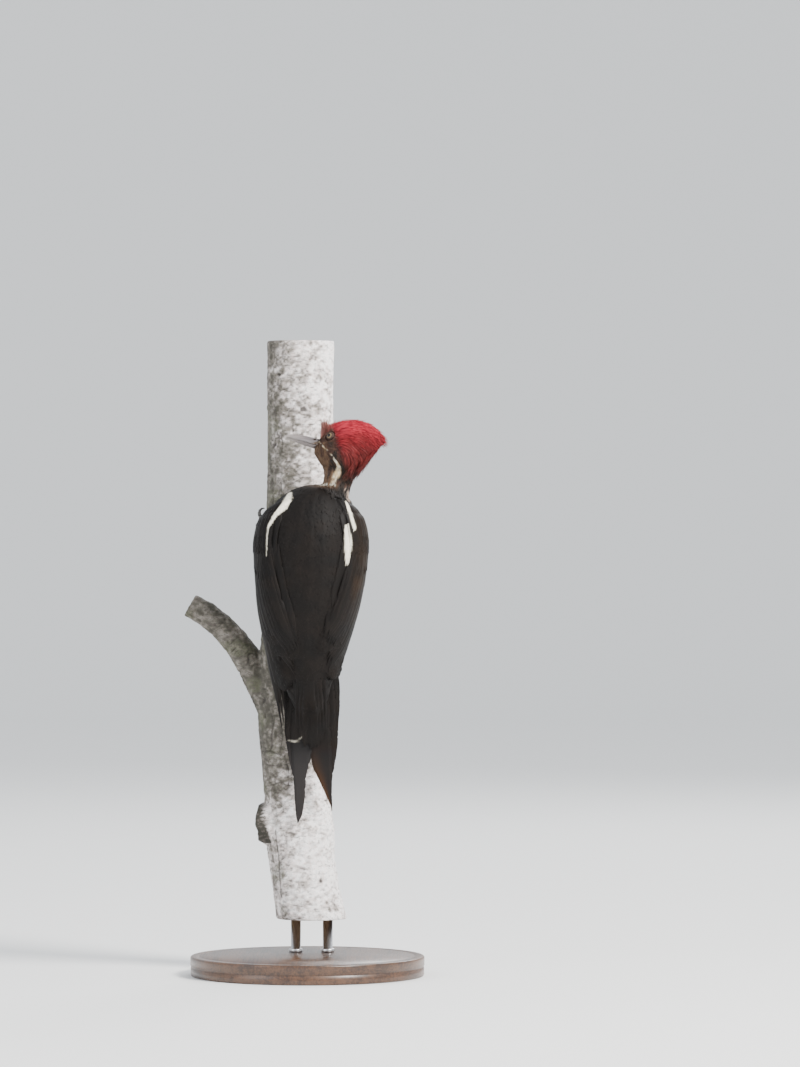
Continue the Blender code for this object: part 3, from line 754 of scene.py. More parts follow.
def alongPaths(paths, share):
    at = np.clip(share, 0, 1) * (paths.shape[1] - 1)
    low = np.minimum(at.astype(int), paths.shape[1] - 2)
    rest = (at - low)[..., None]
    pick = low.reshape(len(paths), -1)
    rows = np.arange(len(paths))[:, None]
    first = paths[rows, pick].reshape(*share.shape, 3)
    second = paths[rows, pick + 1].reshape(*share.shape, 3)
    return first + (second - first) * rest, second - first


leastStep = 0.012  # between a tip and the row before it, so that no vane folds over
leastLift = 0.06 * mm
bakePatch = 0.003


def layVanes(paths, ups, halfWidths, form, lifts=0.0, onSkin=True):
    # a grid of points for each feather: stations from root to tip, and columns across the vane
    share, profile = np.array(form["stations"])[:, None], np.array(form["profile"])[:, None]
    across = form["columns"]
    across = np.linspace(-1, 1, across) if isinstance(across, int) else np.array(across)
    off = np.abs(across)
    count, shape = len(paths), (len(share), len(across))
    places = share * (1 - (form["slant"] + form["round"] * off) * off) + form["slant"] * off
    places = np.broadcast_to(places, (count, *shape)).copy()
    places[:, -1] -= rng.random((count, shape[1])) * form["ragged"]
    places[:, 1:-1, [0, -1]] -= rng.random((count, shape[0] - 2, 2)) * form["ragged"] * 0.6
    places[:, -1] = np.maximum(places[:, -1], places[:, -2] + leastStep)
    middle, along = alongPaths(paths, places)
    up = unit(alongPaths(ups, places)[0])
    side = unit(np.cross(along, up))
    width = (halfWidths[:, None, None] if halfWidths.ndim == 1 else halfWidths[:, :, None]) * profile
    if "notch" in form:  # gaps where barbs have come apart at the vane's edge
        torn = (rng.random(places.shape) < 0.10) * rng.random(places.shape) * (off > 0.5)
        width = width * (1 - form["notch"] * torn)
    roll = rng.uniform(-1, 1, count)[:, None, None] * form["roll"]
    grid = middle + side * (across * width)[..., None]
    if onSkin:
        grid, up = ontoSkin(grid)
    ease = smooth(0, form.get("ease", 1e-6), places)  # a vane with "ease" comes up slowly from its root
    lift = form["lift"] + np.reshape(lifts, (-1, 1, 1)) * ease + form["rise"] * places
    lift = lift - form["camber"] * off**2 + (roll + form.get("tilt", 0.0)) * across * ease
    lift = lift + form.get("shaft", 0.0) * (off < 0.1) * (1 - 0.8 * places)
    return grid + up * np.maximum(lift, leastLift)[..., None], up


def vaneFaces(count, rows, columns):
    return (gridFaces(rows, columns) + np.arange(count)[:, None, None] * rows * columns).reshape(-1, 4)


def vaneMaps(grid, roots, unwrap, length, width):
    # where each vane's finish is baked, and its own measure along and across in centimetres
    rows, columns = grid.shape[1:3]
    across = np.linspace(-0.5, 0.5, columns)
    down = np.linspace(-0.5, 0.5, rows)[:, None]
    bake = unwrap(roots)[:, None, None] + stacked(across, down) * bakePatch
    own = stacked(across * 2 * width[:, None, None] * 100, (down + 0.5) * length[:, None, None] * 100)
    return {"OFBake": bake.reshape(-1, 2), "vane": own.reshape(-1, 2)}


def thicken(grid, up, thickness, colours, maps):
    # closes a sheet of vanes into thin solids, with an underside and a rim
    count, rows, columns = grid.shape[:3]
    total = count * rows * columns
    over = vaneFaces(count, rows, columns)
    one = np.arange(rows * columns).reshape(rows, columns)
    rim = np.concatenate([one[0], one[1:, -1], one[-1, -2::-1], one[-2:0:-1, 0]])
    rim = rim + np.arange(count)[:, None] * rows * columns
    after = np.roll(rim, -1, axis=1)
    wall = np.stack([after, rim, rim + total, after + total], -1).reshape(-1, 4)
    return {
        "points": np.concatenate([grid, grid - up * thickness]).reshape(-1, 3),
        "faces": np.concatenate([over, over[:, ::-1] + total, wall]),
        "colours": np.tile(colours.reshape(-1, 3), (2, 1)),
        **{key: np.tile(places, (2, 1)) for key, places in maps.items()},
    }


def addBlades(name, parts, paint, stands=()):
    # joins sets of thickened vanes into one piece
    offset = 0
    for part in parts:
        part["faces"] = part["faces"] + offset
        offset += len(part["points"])
    joined = {key: np.concatenate([part[key] for part in parts]) for key in parts[0]}
    maps = {key: joined[key] for key in ("OFBake", "vane")}
    print(f"{name}: {2 * len(joined['faces'])} triangles")
    addPiece(name, joined["points"], [joined["faces"]], paint, joined["colours"], maps, stands)


def coloursOf(grid):
    return plumageColour(grid.reshape(-1, 3)).reshape(grid.shape)


def tones(count, spread):  # how light or dark each feather is
    return rng.uniform(1 - spread, 1 + spread, count)[:, None, None, None]


def turnRound(points):  # angle from the middle of the back
    return np.arctan2(points[:, 0] - bodyAxis[0], bodyAxis[1] - points[:, 1])


def roundBody(points):  # unwrap of the body as an upright tube
    low, high = skinPoints[:, 2].min(), skinPoints[:, 2].max()
    return 0.01 + 0.98 * stacked(turnRound(points) / fullTurn + 0.5, (points[:, 2] - low) / (high - low))


def roundHead(points):  # unwrap of the head as a tube along its own length
    x, y, z = toHead(points).T
    across = 0.01 + 0.98 * (np.arctan2(y, z) / fullTurn + 0.5)
    return stacked(across, np.clip(0.5 + (x + 0.022) / 0.075, 0.01, 0.99))


def scatter(chosen, spacing):
    # points of the skin, evenly spread at about this distance
    order = rng.permutation(np.flatnonzero(chosen))
    cells = np.floor(skinPoints[order] / spacing).astype(int).tolist()
    taken, kept = {}, []
    beside = [(a, b, c) for a in (-1, 0, 1) for b in (-1, 0, 1) for c in (-1, 0, 1)]
    for index, (a, b, c), point in zip(order.tolist(), cells, skinPoints[order].tolist()):
        close = (other for i, j, k in beside for other in taken.get((a + i, b + j, c + k), ()))
        if all(math.dist(point, other) > spacing for other in close):
            taken.setdefault((a, b, c), []).append(point)
            kept.append(index)
    return skinPoints[kept]


def tuftCoat(name, form, chosen, unwrap, paint):
    # covers part of the skin with small feathers
    roots = scatter(chosen, form["spacing"])
    count = len(roots)
    size = rng.uniform(0.86, 1.12, count)
    lengths, halfWidths = form["length"] * size, form["halfWidth"] * size
    sway = np.radians(form["sway"]) * rng.normal(0, 1, count)
    paths, ups = march(roots, lengths, form["steps"], sway)
    lifts = rng.uniform(0, form["scatterLift"], count)
    if "raised" in form:  # the most that they are raised, and between which heights
        most, low, high = form["raised"]
        lifts = lifts + most * smooth(low, high, roots[:, 2])
    grid, _ = layVanes(paths, ups, halfWidths, form, lifts)
    share = np.linspace(0, 1, grid.shape[1])[None, :, None, None]
    # painted shade: each feather is darker towards its root, where the feathers over it shade it
    colours = coloursOf(grid) * tones(count, form["tone"]) * (0.72 + 0.34 * share)
    maps = vaneMaps(grid, roots, unwrap, lengths, halfWidths)
    faces = vaneFaces(*grid.shape[:3])
    print(f"{name}: {count} feathers, {2 * len(faces)} triangles")
    addPiece(name, grid.reshape(-1, 3), [faces], paint, colours.reshape(-1, 3), maps)


def featherPaint(name, roughness, gloss, barbs, depth):
    # colour from the markings, fine slanting barbs in the vane, and a soft gloss along them
    paint = Paint(name, Roughness=roughness, Specular_IOR_Level=gloss)
    tint = paint.tint()
    own = paint.node("UVMap", {"uv_map": "vane"})
    split, along = (paint.node("SeparateXYZ", None, {0: own}, out=k) for k in (0, 1))
    off = abs(split)
    lie = along - off * 0.9
    wave = (lie * (fullTurn * barbs)).sine()
    loose = paint.noise(paint.node("CombineXYZ", None, {0: split * 3.0, 1: lie * 16.0}), 1.0, 3)
    shaft = 1 - off.step(0.006, 0.018)
    ribs = (wave * 0.5 + 0.5) * 0.35 + loose * 0.9 + shaft * 0.6
    light = (ribs * 0.45 + 0.68) * (1 - shaft * 0.2)
    grey = paint.node("CombineColor", None, {0: light, 1: light, 2: light})
    paint.feed("Base Color", paint.mix(1.0, tint, grey, "MULTIPLY"))
    paint.feed("Roughness", loose * 0.25 + (roughness - 0.12))
    paint.bump(ribs, depth, 0.6)
    return paint


vaneColumns = (-1, -0.62, -0.3, -0.07, 0, 0.07, 0.3, 0.62, 1)
coat = {  # lengths in millimetres
    "back": {
        "spacing": 2.1, "length": 15, "halfWidth": 3.0, "steps": 6, "sway": 4, "tone": 0.12,
        "stations": (0, 0.25, 0.5, 0.72, 0.86, 0.95, 1), "profile": (0.30, 0.85, 1, 0.98, 0.84, 0.62, 0.40),
        "columns": 9, "slant": 0.16, "round": 0.08, "ragged": 0.09,
        "lift": 0.12, "rise": 0.24, "camber": 0.14, "roll": 0.04, "scatterLift": 0.10,
    },
    "belly": {
        "spacing": 3.0, "length": 14, "halfWidth": 3.8, "steps": 6, "sway": 5, "tone": 0.18,
        "stations": (0, 0.25, 0.5, 0.72, 0.88, 1), "profile": (0.30, 0.85, 1, 0.95, 0.75, 0.42),
        "columns": 9, "slant": 0.16, "round": 0.10, "ragged": 0.08,
        "lift": 0.15, "rise": 0.75, "camber": 0.30, "roll": 0.2, "scatterLift": 0.3,
    },
    "neck": {
        "spacing": 1.5, "length": 8.5, "halfWidth": 1.35, "steps": 4, "sway": 7, "tone": 0.22,
        "stations": (0, 0.3, 0.6, 0.85, 1), "profile": (0.35, 0.95, 1, 0.7, 0.25),
        "columns": 5, "slant": 0.16, "round": 0.14, "ragged": 0.10,
        "lift": 0.15, "rise": 0.75, "camber": 0.20, "roll": 0.15, "scatterLift": 0.3,
    },
    "face": {
        "spacing": 0.85, "length": 3.4, "halfWidth": 0.60, "steps": 3, "sway": 8, "tone": 0.25,
        "stations": (0, 0.4, 0.8, 1), "profile": (0.4, 1, 0.75, 0.2),
        "columns": 5, "slant": 0.16, "round": 0.2, "ragged": 0.12,
        "lift": 0.1, "rise": 0.6, "camber": 0.10, "roll": 0.12, "scatterLift": 0.2,
    },
    "crest": {
        "spacing": 0.80, "length": 12.5, "halfWidth": 0.46, "steps": 6, "sway": 8, "tone": 0.30,
        "stations": (0, 0.2, 0.4, 0.6, 0.78, 0.9, 1), "profile": (0.55, 0.95, 1, 0.85, 0.6, 0.36, 0.05),
        "columns": 3, "slant": 0.03, "round": 0.03, "ragged": 0.03,
        "lift": 0.12, "rise": 1.1, "camber": 0.18, "roll": 0.18, "scatterLift": 0.75,
    },
    "stray": {  # plumes that stand clear of the rest
        "tone": 0.25,
        "stations": (0, 0.2, 0.4, 0.6, 0.78, 0.9, 1), "profile": (0.8, 1, 1, 0.85, 0.6, 0.36, 0.08),
        "columns": 3, "slant": 0.03, "round": 0.03, "ragged": 0.03,
        "lift": 0.0, "rise": 0.0, "camber": 0.12, "roll": 0.12,
    },
    "thigh": {
        "spacing": 2.1, "length": 8.0, "halfWidth": 1.9, "steps": 4, "sway": 8, "tone": 0.2,
        "stations": (0, 0.3, 0.6, 0.85, 1), "profile": (0.35, 0.95, 1, 0.75, 0.32),
        "columns": 5, "slant": 0.16, "round": 0.14, "ragged": 0.10,
        "lift": 0.12, "rise": 0.6, "camber": 0.25, "roll": 0.15, "scatterLift": 0.25,
    },
    "shoulder": {
        "spacing": 1.8, "length": 9.5, "halfWidth": 2.3, "steps": 5, "sway": 4, "tone": 0.12,
        "stations": (0, 0.3, 0.6, 0.8, 0.92, 1), "profile": (0.35, 0.95, 1, 0.9, 0.68, 0.38),
        "columns": 7, "slant": 0.14, "round": 0.10, "ragged": 0.07,
        "lift": 0.12, "rise": 0.45, "camber": 0.25, "roll": 0.08, "scatterLift": 0.15,
        "raised": (1.15 * mm, 0.376, 0.358),
    },
}
for form in coat.values():
    for key in ("spacing", "length", "halfWidth", "lift", "rise", "camber", "roll", "scatterLift"):
        if key in form:
            form[key] *= mm


def strayPlumes(name, roots, ways, ups, length, halfWidth, droop, colours, paint):
    # plumes with straight middle lines, each a thin closed blade
    count, form = len(roots), coat["stray"]
    lengths = length * rng.uniform(0.7, 1.15, count)
    way = np.linspace(0, 1, len(form["stations"]))
    paths = roots[:, None] + ways[:, None] * (lengths[:, None] * way)[..., None]
    paths[..., 2] -= droop * lengths[:, None] * way**2
    halfWidths = np.full(count, halfWidth)
    grid, up = layVanes(paths, np.repeat(ups[:, None], len(way), 1), halfWidths, form, onSkin=False)
    tint = np.broadcast_to(colours[:, None, None] * tones(count, form["tone"]), grid.shape)
    maps = vaneMaps(grid, roots, roundHead, lengths, halfWidths)
    addBlades(name, [thicken(grid, up, 0.07 * mm, tint, maps)], paint)


def rootsAt(chosen, spacing):
    return ontoSkin(scatter(chosen, spacing))


def makeNape(paint):
    # plumes hang along the crest's straight lower edge, down to the hindneck
    x, _, z = skinPoints.T
    under = rear & (skinNormals @ np.array([0.78, 0.0, -0.62]) > 0.55)
    under = under & (z > 0.399) & (z < 0.434) & (x > 0.034)
    roots, ups = rootsAt(under, 0.62 * mm)
    ways = unit(np.array([-0.60, 0.0, -0.80]) + 0.16 * ups + rng.normal(0, 0.07, roots.shape))
    tint = plumageColour(roots + ways * 5 * mm)
    strayPlumes("coat_nape", roots, ways, ups, 11 * mm, 0.36 * mm, 0.05, tint, paint)


def makeCrownEdge(paint):
    # soft edges of the crown and of the crest's tip
    edge = rear & (offMiddle < 5.5 * mm) & (skinPoints[:, 2] > 0.428) & (skinNormals[:, 2] > -0.2)
    roots, ups = rootsAt(edge, 0.75 * mm)
    lie = flattened(lieOf(roots), ups)
    ways = unit(lie + 0.26 * ups * rng.uniform(0.4, 1.2, (len(roots), 1)) + rng.normal(0, 0.08, roots.shape))
    tint = plumageColour(roots)
    roots = roots + ups * 0.5 * mm
    strayPlumes("coat_crown", roots, ways, ups, 7 * mm, 0.24 * mm, 0.04, tint, paint)


def makeForecrown(paint):
    # short plumes that stand nearly upright, dark in front and red behind
    x, _, z = skinPoints.T
    front = onHead & (crownReach < 6 * mm) & (offMiddle < 5.6 * mm)
    front &= (z > 0.4335) & (x > 0.0105) & (skinNormals[:, 2] > 0)
    roots, ups = rootsAt(front, 0.44 * mm)
    count, x = len(roots), roots[:, 0]
    upright, leaning = (np.array(way) + 0 * roots for way in ((0.10, 0.0, 0.99), (0.42, 0.0, 0.91)))
    ways = blend(upright, leaning, smooth(0.013, 0.027, x))
    ways = ways + 0.05 * ups + rng.normal(0, 0.10, roots.shape)
    ways = unit(ways + 0.16 * noise(roots, 3 * mm, 48)[:, None])
    uneven = 1.5 * mm * rng.normal(0, 1, count) + 1.5 * mm * noise(roots, 2 * mm, 49)
    top = 0.4460 + uneven + 6.8 * mm * smooth(0.0168, 0.0130, x)
    most = 6 * mm + 8 * mm * smooth(0.0180, 0.0150, x) * (rng.random(count) < 0.8)
    reach = np.clip(top - roots[:, 2], 2.5 * mm, most) / np.maximum(ways[:, 2], 0.5)
    tint = blend(colour["face"], colour["forehead"] * 1.7, rng.random(count) ** 0.7)
    tint = blend(tint, colour["redTop"] * 0.8, smooth(0.0155, 0.0235, x + rng.normal(0, 1.6 * mm, count)))
    wide = (0.21 + 0.13 * smooth(0.0175, 0.0145, x)) * mm
    strayPlumes("coat_forecrown", roots, ways, ups, reach, wide, 0.06, tint, paint)


def makeBristles(paint):
    # stiff tufts from the forehead over the nostrils, pale below and dark above
    count = 150
    for side, name in ((1, "left"), (-1, "right")):
        share = rng.random(count)
        turn = side * np.radians(24 + 62 * (1 - share))
        across, high = np.sin(turn), np.cos(turn)
        roots = stacked(rng.uniform(-2.6, 0.6, count), 4.5 * across - 0.6, -2.3 + 4.7 * high) * mm
        ways = stacked(1, -0.13 * across, -0.05 * high) + rng.normal(0, 0.08, (count, 3))
        ups = unit(stacked(0.1, across, high))
        dark = smooth(0.2, 0.7, share + rng.normal(0, 0.15, count))
        tint = blend(colour["bristle"], colour["cheek"] * 0.7, dark)
        roots, ways, ups = fromBill(roots + ups * 0.1 * mm), unit(ways) @ billAxes, ups @ billAxes
        strayPlumes(
            "coat_bristles_" + name, roots, ways, ups, 3.6 * mm, 0.09 * mm, 0.05, tint, paint
        )


turnOfSkin = np.abs(np.degrees(turnRound(skinPoints)))
onBody = np.isin(skinNode, ["torso", "tail_coverts_upper", "tail_coverts_lower"])
onHead = np.isin(skinNode, ["head", "crest"])
crownReach = onCrown(skinPoints)
offMiddle = np.abs(toHead(skinPoints)[:, 1])
rear = (onHead | (skinNode == "neck")) & (crownReach > 1 * mm)


def makeCoat():
    soft = featherPaint("bodyFeathers", 0.62, 0.13, 24, 0.02 * mm)
    plume = featherPaint("crestPlumes", 0.60, 0.18, 14, 0.02 * mm)
    small = featherPaint("headFeathers", 0.62, 0.25, 30, 0.02 * mm)
    height = skinPoints[:, 2]
    face = onHead & (eyeDistance(skinPoints) > 3.35 * mm)
    crown = crownReach > 0.3 * mm
    thighs = np.isin(skinNode, ["thigh_left", "thigh_right"])
    flanks = np.isin(skinNode, wingNodes) & (height < 0.305)
    shoulders = np.isin(skinNode, wingNodes[:2]) & (height > 0.350)
    for name, form, chosen, unwrap, paint, slot in (
        ("back", "back", onBody & (turnOfSkin < 100), roundBody, soft, "black_plumage"),
        ("belly", "belly", onBody & (turnOfSkin >= 100), roundBody, soft, "black_plumage"),
        ("neck", "neck", skinNode == "neck", roundHead, small, "face_plumage"),
        ("face", "face", face & ~crown, roundHead, small, "face_plumage"),
        ("crest", "crest", face & crown, roundHead, plume, "red_crest"),
        ("flanks", "back", flanks, roundBody, soft, "black_flight_feathers"),
        ("thighs", "thigh", thighs, roundBody, soft, "black_plumage"),
        ("shoulders", "shoulder", shoulders, roundBody, soft, "black_flight_feathers"),
    ):
        tuftCoat("coat_" + name, coat[form], chosen, unwrap, paint)
    makeNape(plume)
    makeCrownEdge(plume)
    makeForecrown(plume)
    makeBristles(small)


makeCoat()
print("small feathers laid")


# Wing feathers: rows laid round the body, each from the inner edge of the wing (share 0) to the outer (1)

wings = {
    "rows": (
        {  # primaries
            "count": 9, "halfWidth": 4.9 * mm, "lift": (0.85 * mm, 0.50 * mm), "thickness": 0.20 * mm,
            "root": ((0, 0.362, 60), (1, 0.364, 112)),  # share, height, degrees from the middle of the back
            "tip": (
                (0, 0.2640, 37), (0.25, 0.2520, 44), (0.5, 0.2430, 52), (0.75, 0.2360, 61),
                (0.88, 0.2345, 68), (1, 0.2450, 84),
            ),
            # on the left the longest lie on past the body, beside the tail: share, tip
            "free": (
                (0.48, -0.0165, -0.0290, 0.2120), (0.75, -0.0192, -0.0260, 0.1970),
                (1, -0.0212, -0.0280, 0.2130),
            ),
            "freeFrom": 0.2560, "freeTurn": 13, "freeUp": (-0.45, -0.89, 0.0),
        },
        {  # secondaries
            "count": 8, "halfWidth": 5.6 * mm, "lift": (1.15 * mm, 0.95 * mm), "thickness": 0.20 * mm,
            "root": ((0, 0.362, 52), (1, 0.362, 72)),
            "tip": (
                (0, 0.297, 31), (0.15, 0.284, 26), (0.3, 0.2755, 23), (0.45, 0.2700, 24), (1, 0.2640, 44),
            ),
        },
        {  # primary coverts
            "count": 6, "halfWidth": 3.2 * mm, "lift": (1.00 * mm, 0.80 * mm), "thickness": 0.14 * mm,
            "root": ((0, 0.358, 92), (1, 0.358, 112)), "tip": ((0, 0.316, 94), (1, 0.306, 115)),
        },
        {  # greater coverts
            "count": 17, "halfWidth": 3.6 * mm, "lift": (1.35 * mm, 0.95 * mm), "thickness": 0.12 * mm,
            "root": ((0, 0.374, 50), (1, 0.372, 112)),
            "tip": ((0, 0.316, 47), (0.35, 0.322, 66), (0.7, 0.330, 92), (1, 0.335, 116)),
        },
        {  # median coverts
            "count": 19, "halfWidth": 3.3 * mm, "lift": (1.50 * mm, 1.15 * mm), "thickness": 0.12 * mm,
            "root": ((0, 0.380, 48), (1, 0.376, 108)),
            "tip": ((0, 0.341, 48), (0.5, 0.345, 80), (1, 0.349, 114)),
        },
        {  # alula
            "count": 3, "halfWidth": 3.0 * mm, "lift": (1.35 * mm, 1.35 * mm), "thickness": 0.14 * mm,
            "root": ((0, 0.368, 107), (1, 0.368, 112)), "tip": ((0, 0.334, 109), (1, 0.322, 116)),
        },
    ),
    "tipDrop": {"left": 0.0035, "right": -0.0055},  # one wing tip hangs lower than the other
    "unevenness": 1.3 * mm,
}
longVane = np.linspace(0, 1, 34)
narrowed = 1 - 0.78 * smooth(0.80, 1.02, longVane) - 0.12 * smooth(0.4, 0.8, longVane)
flight = {
    "stations": longVane, "profile": np.minimum(0.5 + 3 * longVane, 1) * narrowed,
    "columns": vaneColumns, "slant": 0.05, "round": 0.035, "ragged": 0.008, "notch": 0.22,
    "lift": 0.05 * mm, "rise": 0.10 * mm, "camber": 0.30 * mm, "shaft": 0.10 * mm, "roll": 0.05 * mm,
    "ease": 0.30, "tilt": 0.20 * mm,  # each vane's outer edge rides over the next one
}


def aroundBody(heights, turns):
    # places on the skin at these heights, at angles from the middle of the back, plus to the right
    reach = 0.09
    turn = np.radians(turns)
    starts = stacked(bodyAxis[0] + reach * np.sin(turn), bodyAxis[1] - reach * np.cos(turn), heights)
    ways = stacked(-np.sin(turn), np.cos(turn), 0)
    places, outwards = [], []
    for start, way in zip(starts.reshape(-1, 3).tolist(), ways.reshape(-1, 3).tolist()):
        hit = skinTree.ray_cast(start, way, reach)
        places.append(hit[0] if hit[0] else (*bodyAxis, start[2]))
        outwards.append(skinNormals[skinQuads[hit[2]]].mean(0) if hit[0] else -np.array(way))
    return np.array(places).reshape(starts.shape), np.array(outwards).reshape(starts.shape)


def eased(paths, rounds):
    # evens out the bends of middle lines, with their ends held
    for _ in range(rounds):
        paths[:, 1:-1] = 0.5 * paths[:, 1:-1] + 0.25 * (paths[:, :-2] + paths[:, 2:])
    return paths


def lengthsOf(paths):
    return np.linalg.norm(np.diff(paths, axis=1), axis=2).sum(1)


def freeTip(paths, ups, share, row):
    # leads the feathers on in a straight line below the height where they leave the body
    for path, up, place in zip(paths, ups, share):
        if place < row["free"][0][0]:
            continue
        start = np.flatnonzero(path[:, 2] > row["freeFrom"])[-1]
        along = np.linspace(0, 1, len(path) - start)
        path[start:] = blend(path[start].copy(), fromTable(row["free"], place), along)
        up[start:] = unit(blend(up[start].copy(), row["freeUp"], smooth(0, 0.6, along)))


def makeWing(side, paint):
    sign = 1 if side == "right" else -1
    form = dict(flight, tilt=-sign * flight["tilt"])
    way = np.linspace(0, 1, 16)
    parts = []
    for row in wings["rows"]:
        count, free = row["count"], side == "left" and "free" in row
        share = np.linspace(0, 1, count)
        jitter = rng.normal(0, 1, (2, count))
        rootHeight, rootTurn = fromTable(row["root"], share)
        level, tipTurn = fromTable(row["tip"], share)
        tipHeight = level + wings["unevenness"] * jitter[0] * smooth(0.29, 0.31, level)
        tipHeight = tipHeight - wings["tipDrop"][side] * smooth(0.33, 0.24, level)
        tipTurn = tipTurn + 0.8 * jitter[1]
        if free:
            tipTurn = tipTurn + row["freeTurn"] * smooth(0.45, 0.75, share)
        heights = rootHeight[:, None] + (tipHeight - rootHeight)[:, None] * way
        turns = rootTurn[:, None] + (tipTurn - rootTurn)[:, None] * way**1.25
        paths, ups = aroundBody(heights, sign * turns)
        if free:
            freeTip(paths, ups, share, row)
        paths, ups = eased(paths, 3), unit(eased(ups, 6))
        lifts = row["lift"][0] + (row["lift"][1] - row["lift"][0]) * share
        halfWidths = np.full(count, row["halfWidth"])
        grid, up = layVanes(paths, ups, halfWidths, form, lifts, onSkin=False)
        edge = np.abs(np.array(vaneColumns))[None, None, :, None]
        colours = coloursOf(grid - up * 0.5 * mm) * tones(count, 0.12) * (0.85 + 0.30 * edge**3)
        maps = vaneMaps(grid, paths[:, 4], roundBody, lengthsOf(paths), halfWidths)
        parts.append(thicken(grid, up, row["thickness"], colours, maps))
    addBlades("coat_wing_" + side, parts, paint)


# Tail feathers follow the solid ones: their middle lines and their widths

tailVane = np.linspace(0, 1, 84)
rectrix = {
    "stations": tailVane, "profile": 1.0 - 0.25 * smooth(0.97, 1.0, tailVane),
    "columns": vaneColumns, "slant": 0.0, "round": 0.006, "ragged": 0.006, "notch": 0.16,
    "lift": 0.0, "rise": 0.0, "camber": 0.30 * mm, "shaft": 0.35 * mm, "roll": 0.08 * mm,
    "thickness": 0.35 * mm, "brown": (0.050, 0.022, 0.009), "grey": (0.022, 0.020, 0.020),
    "step": 0.42 * mm, "rootDepth": 1.0 * mm,  # from one feather to the next below it, and more at the roots
    "coverts": {  # how many, height of the roots, of the middle tips and of the outer tips
        "rows": ((9, 0.226, 0.184, 0.200), (8, 0.234, 0.196, 0.210), (7, 0.242, 0.207, 0.220)),
        "spread": (9 * mm, 10.5 * mm), "halfWidth": 3.1 * mm, "unevenness": 2.2 * mm,
    },
    "left": (  # height, left and right edges
        (0.260, -0.0182, 0.0040), (0.199, -0.0184, 0.0040), (0.188, -0.0168, 0.0040),
        (0.177, -0.0151, 0.0034), (0.168, -0.0132, 0.0006), (0.163, -0.0121, -0.0006),
        (0.158, -0.0111, -0.0010), (0.148, -0.0107, -0.0017), (0.138, -0.0101, -0.0026),
        (0.130, -0.0096, -0.0040), (0.1235, -0.0086, -0.0070),
    ),
    "right": (
        (0.260, 0.0024, 0.0253), (0.199, 0.0024, 0.0253), (0.188, 0.0024, 0.0249), (0.177, 0.0029, 0.0235),
        (0.168, 0.0048, 0.0220), (0.163, 0.0075, 0.0209), (0.158, 0.0098, 0.0202), (0.148, 0.0143, 0.0200),
        (0.138, 0.0186, 0.0203), (0.133, 0.0196, 0.0203),
    ),
}


def sliceAt(points, faces, axis, level):
    # where a solid's edges cross the plane at this level along the axis
    edges = np.concatenate([faces[:, [0, 1]], faces[:, [1, 2]], faces[:, [2, 0]]])
    off = points[:, axis] - level
    first, second = edges.T
    crossed = (off[first] > 0) != (off[second] > 0)
    first, second = first[crossed], second[crossed]
    return blend(points[first], points[second], off[first] / (off[first] - off[second]))


def middleLine(node, count):
    # the middle of a solid feather's near face from its root to its tip, and its half widths
    points, faces, _ = joinNodes([node])
    line, widths = [], []
    for level in np.linspace(points[:, 2].max() - 0.1 * mm, points[:, 2].min() + 0.1 * mm, count):
        cut = sliceAt(points, faces, 2, level)
        left, right = cut[:, 0].min(), cut[:, 0].max()
        line.append(((left + right) / 2, cut[:, 1].min(), level))
        widths.append((right - left) / 2)
    return line, widths


def fitted(grid, names, table):
    # widens half of the tail to the edges in the table: height, left edge, right edge
    solids = [joinNodes([name])[:2] for name in names]
    end = table[-1][0]
    found = []
    for level in np.linspace(end + 3 * mm, 0.235, 60):
        across = np.concatenate([sliceAt(points, faces, 2, level)[:, 0] for points, faces in solids])
        if len(across):
            found.append((level, across.min(), across.max()))
    x, y, z = np.moveaxis(grid, -1, 0)
    lower = z - (z.min() - end) * smooth(0.165, z.min(), z)
    (oldLow, oldHigh), (newLow, newHigh) = fromTable(found, z), fromTable(table, lower)
    outer = smooth(0.215, 0.198, z)
    if table[0][1] < 0:
        newLow = oldLow + (newLow - oldLow) * outer
    else:
        newHigh = oldHigh + (newHigh - oldHigh) * outer
    return stacked(newLow + (x - oldLow) / (oldHigh - oldLow) * (newHigh - newLow), y, lower)


def nearUps(paths):
    # the way that tail feathers face: towards the near side, across their middle lines
    ups = unit(np.cross(np.gradient(paths, axis=1), [1.0, 0.0, 0.0]))
    return np.where(ups[..., 1:2] > 0, -ups, ups)


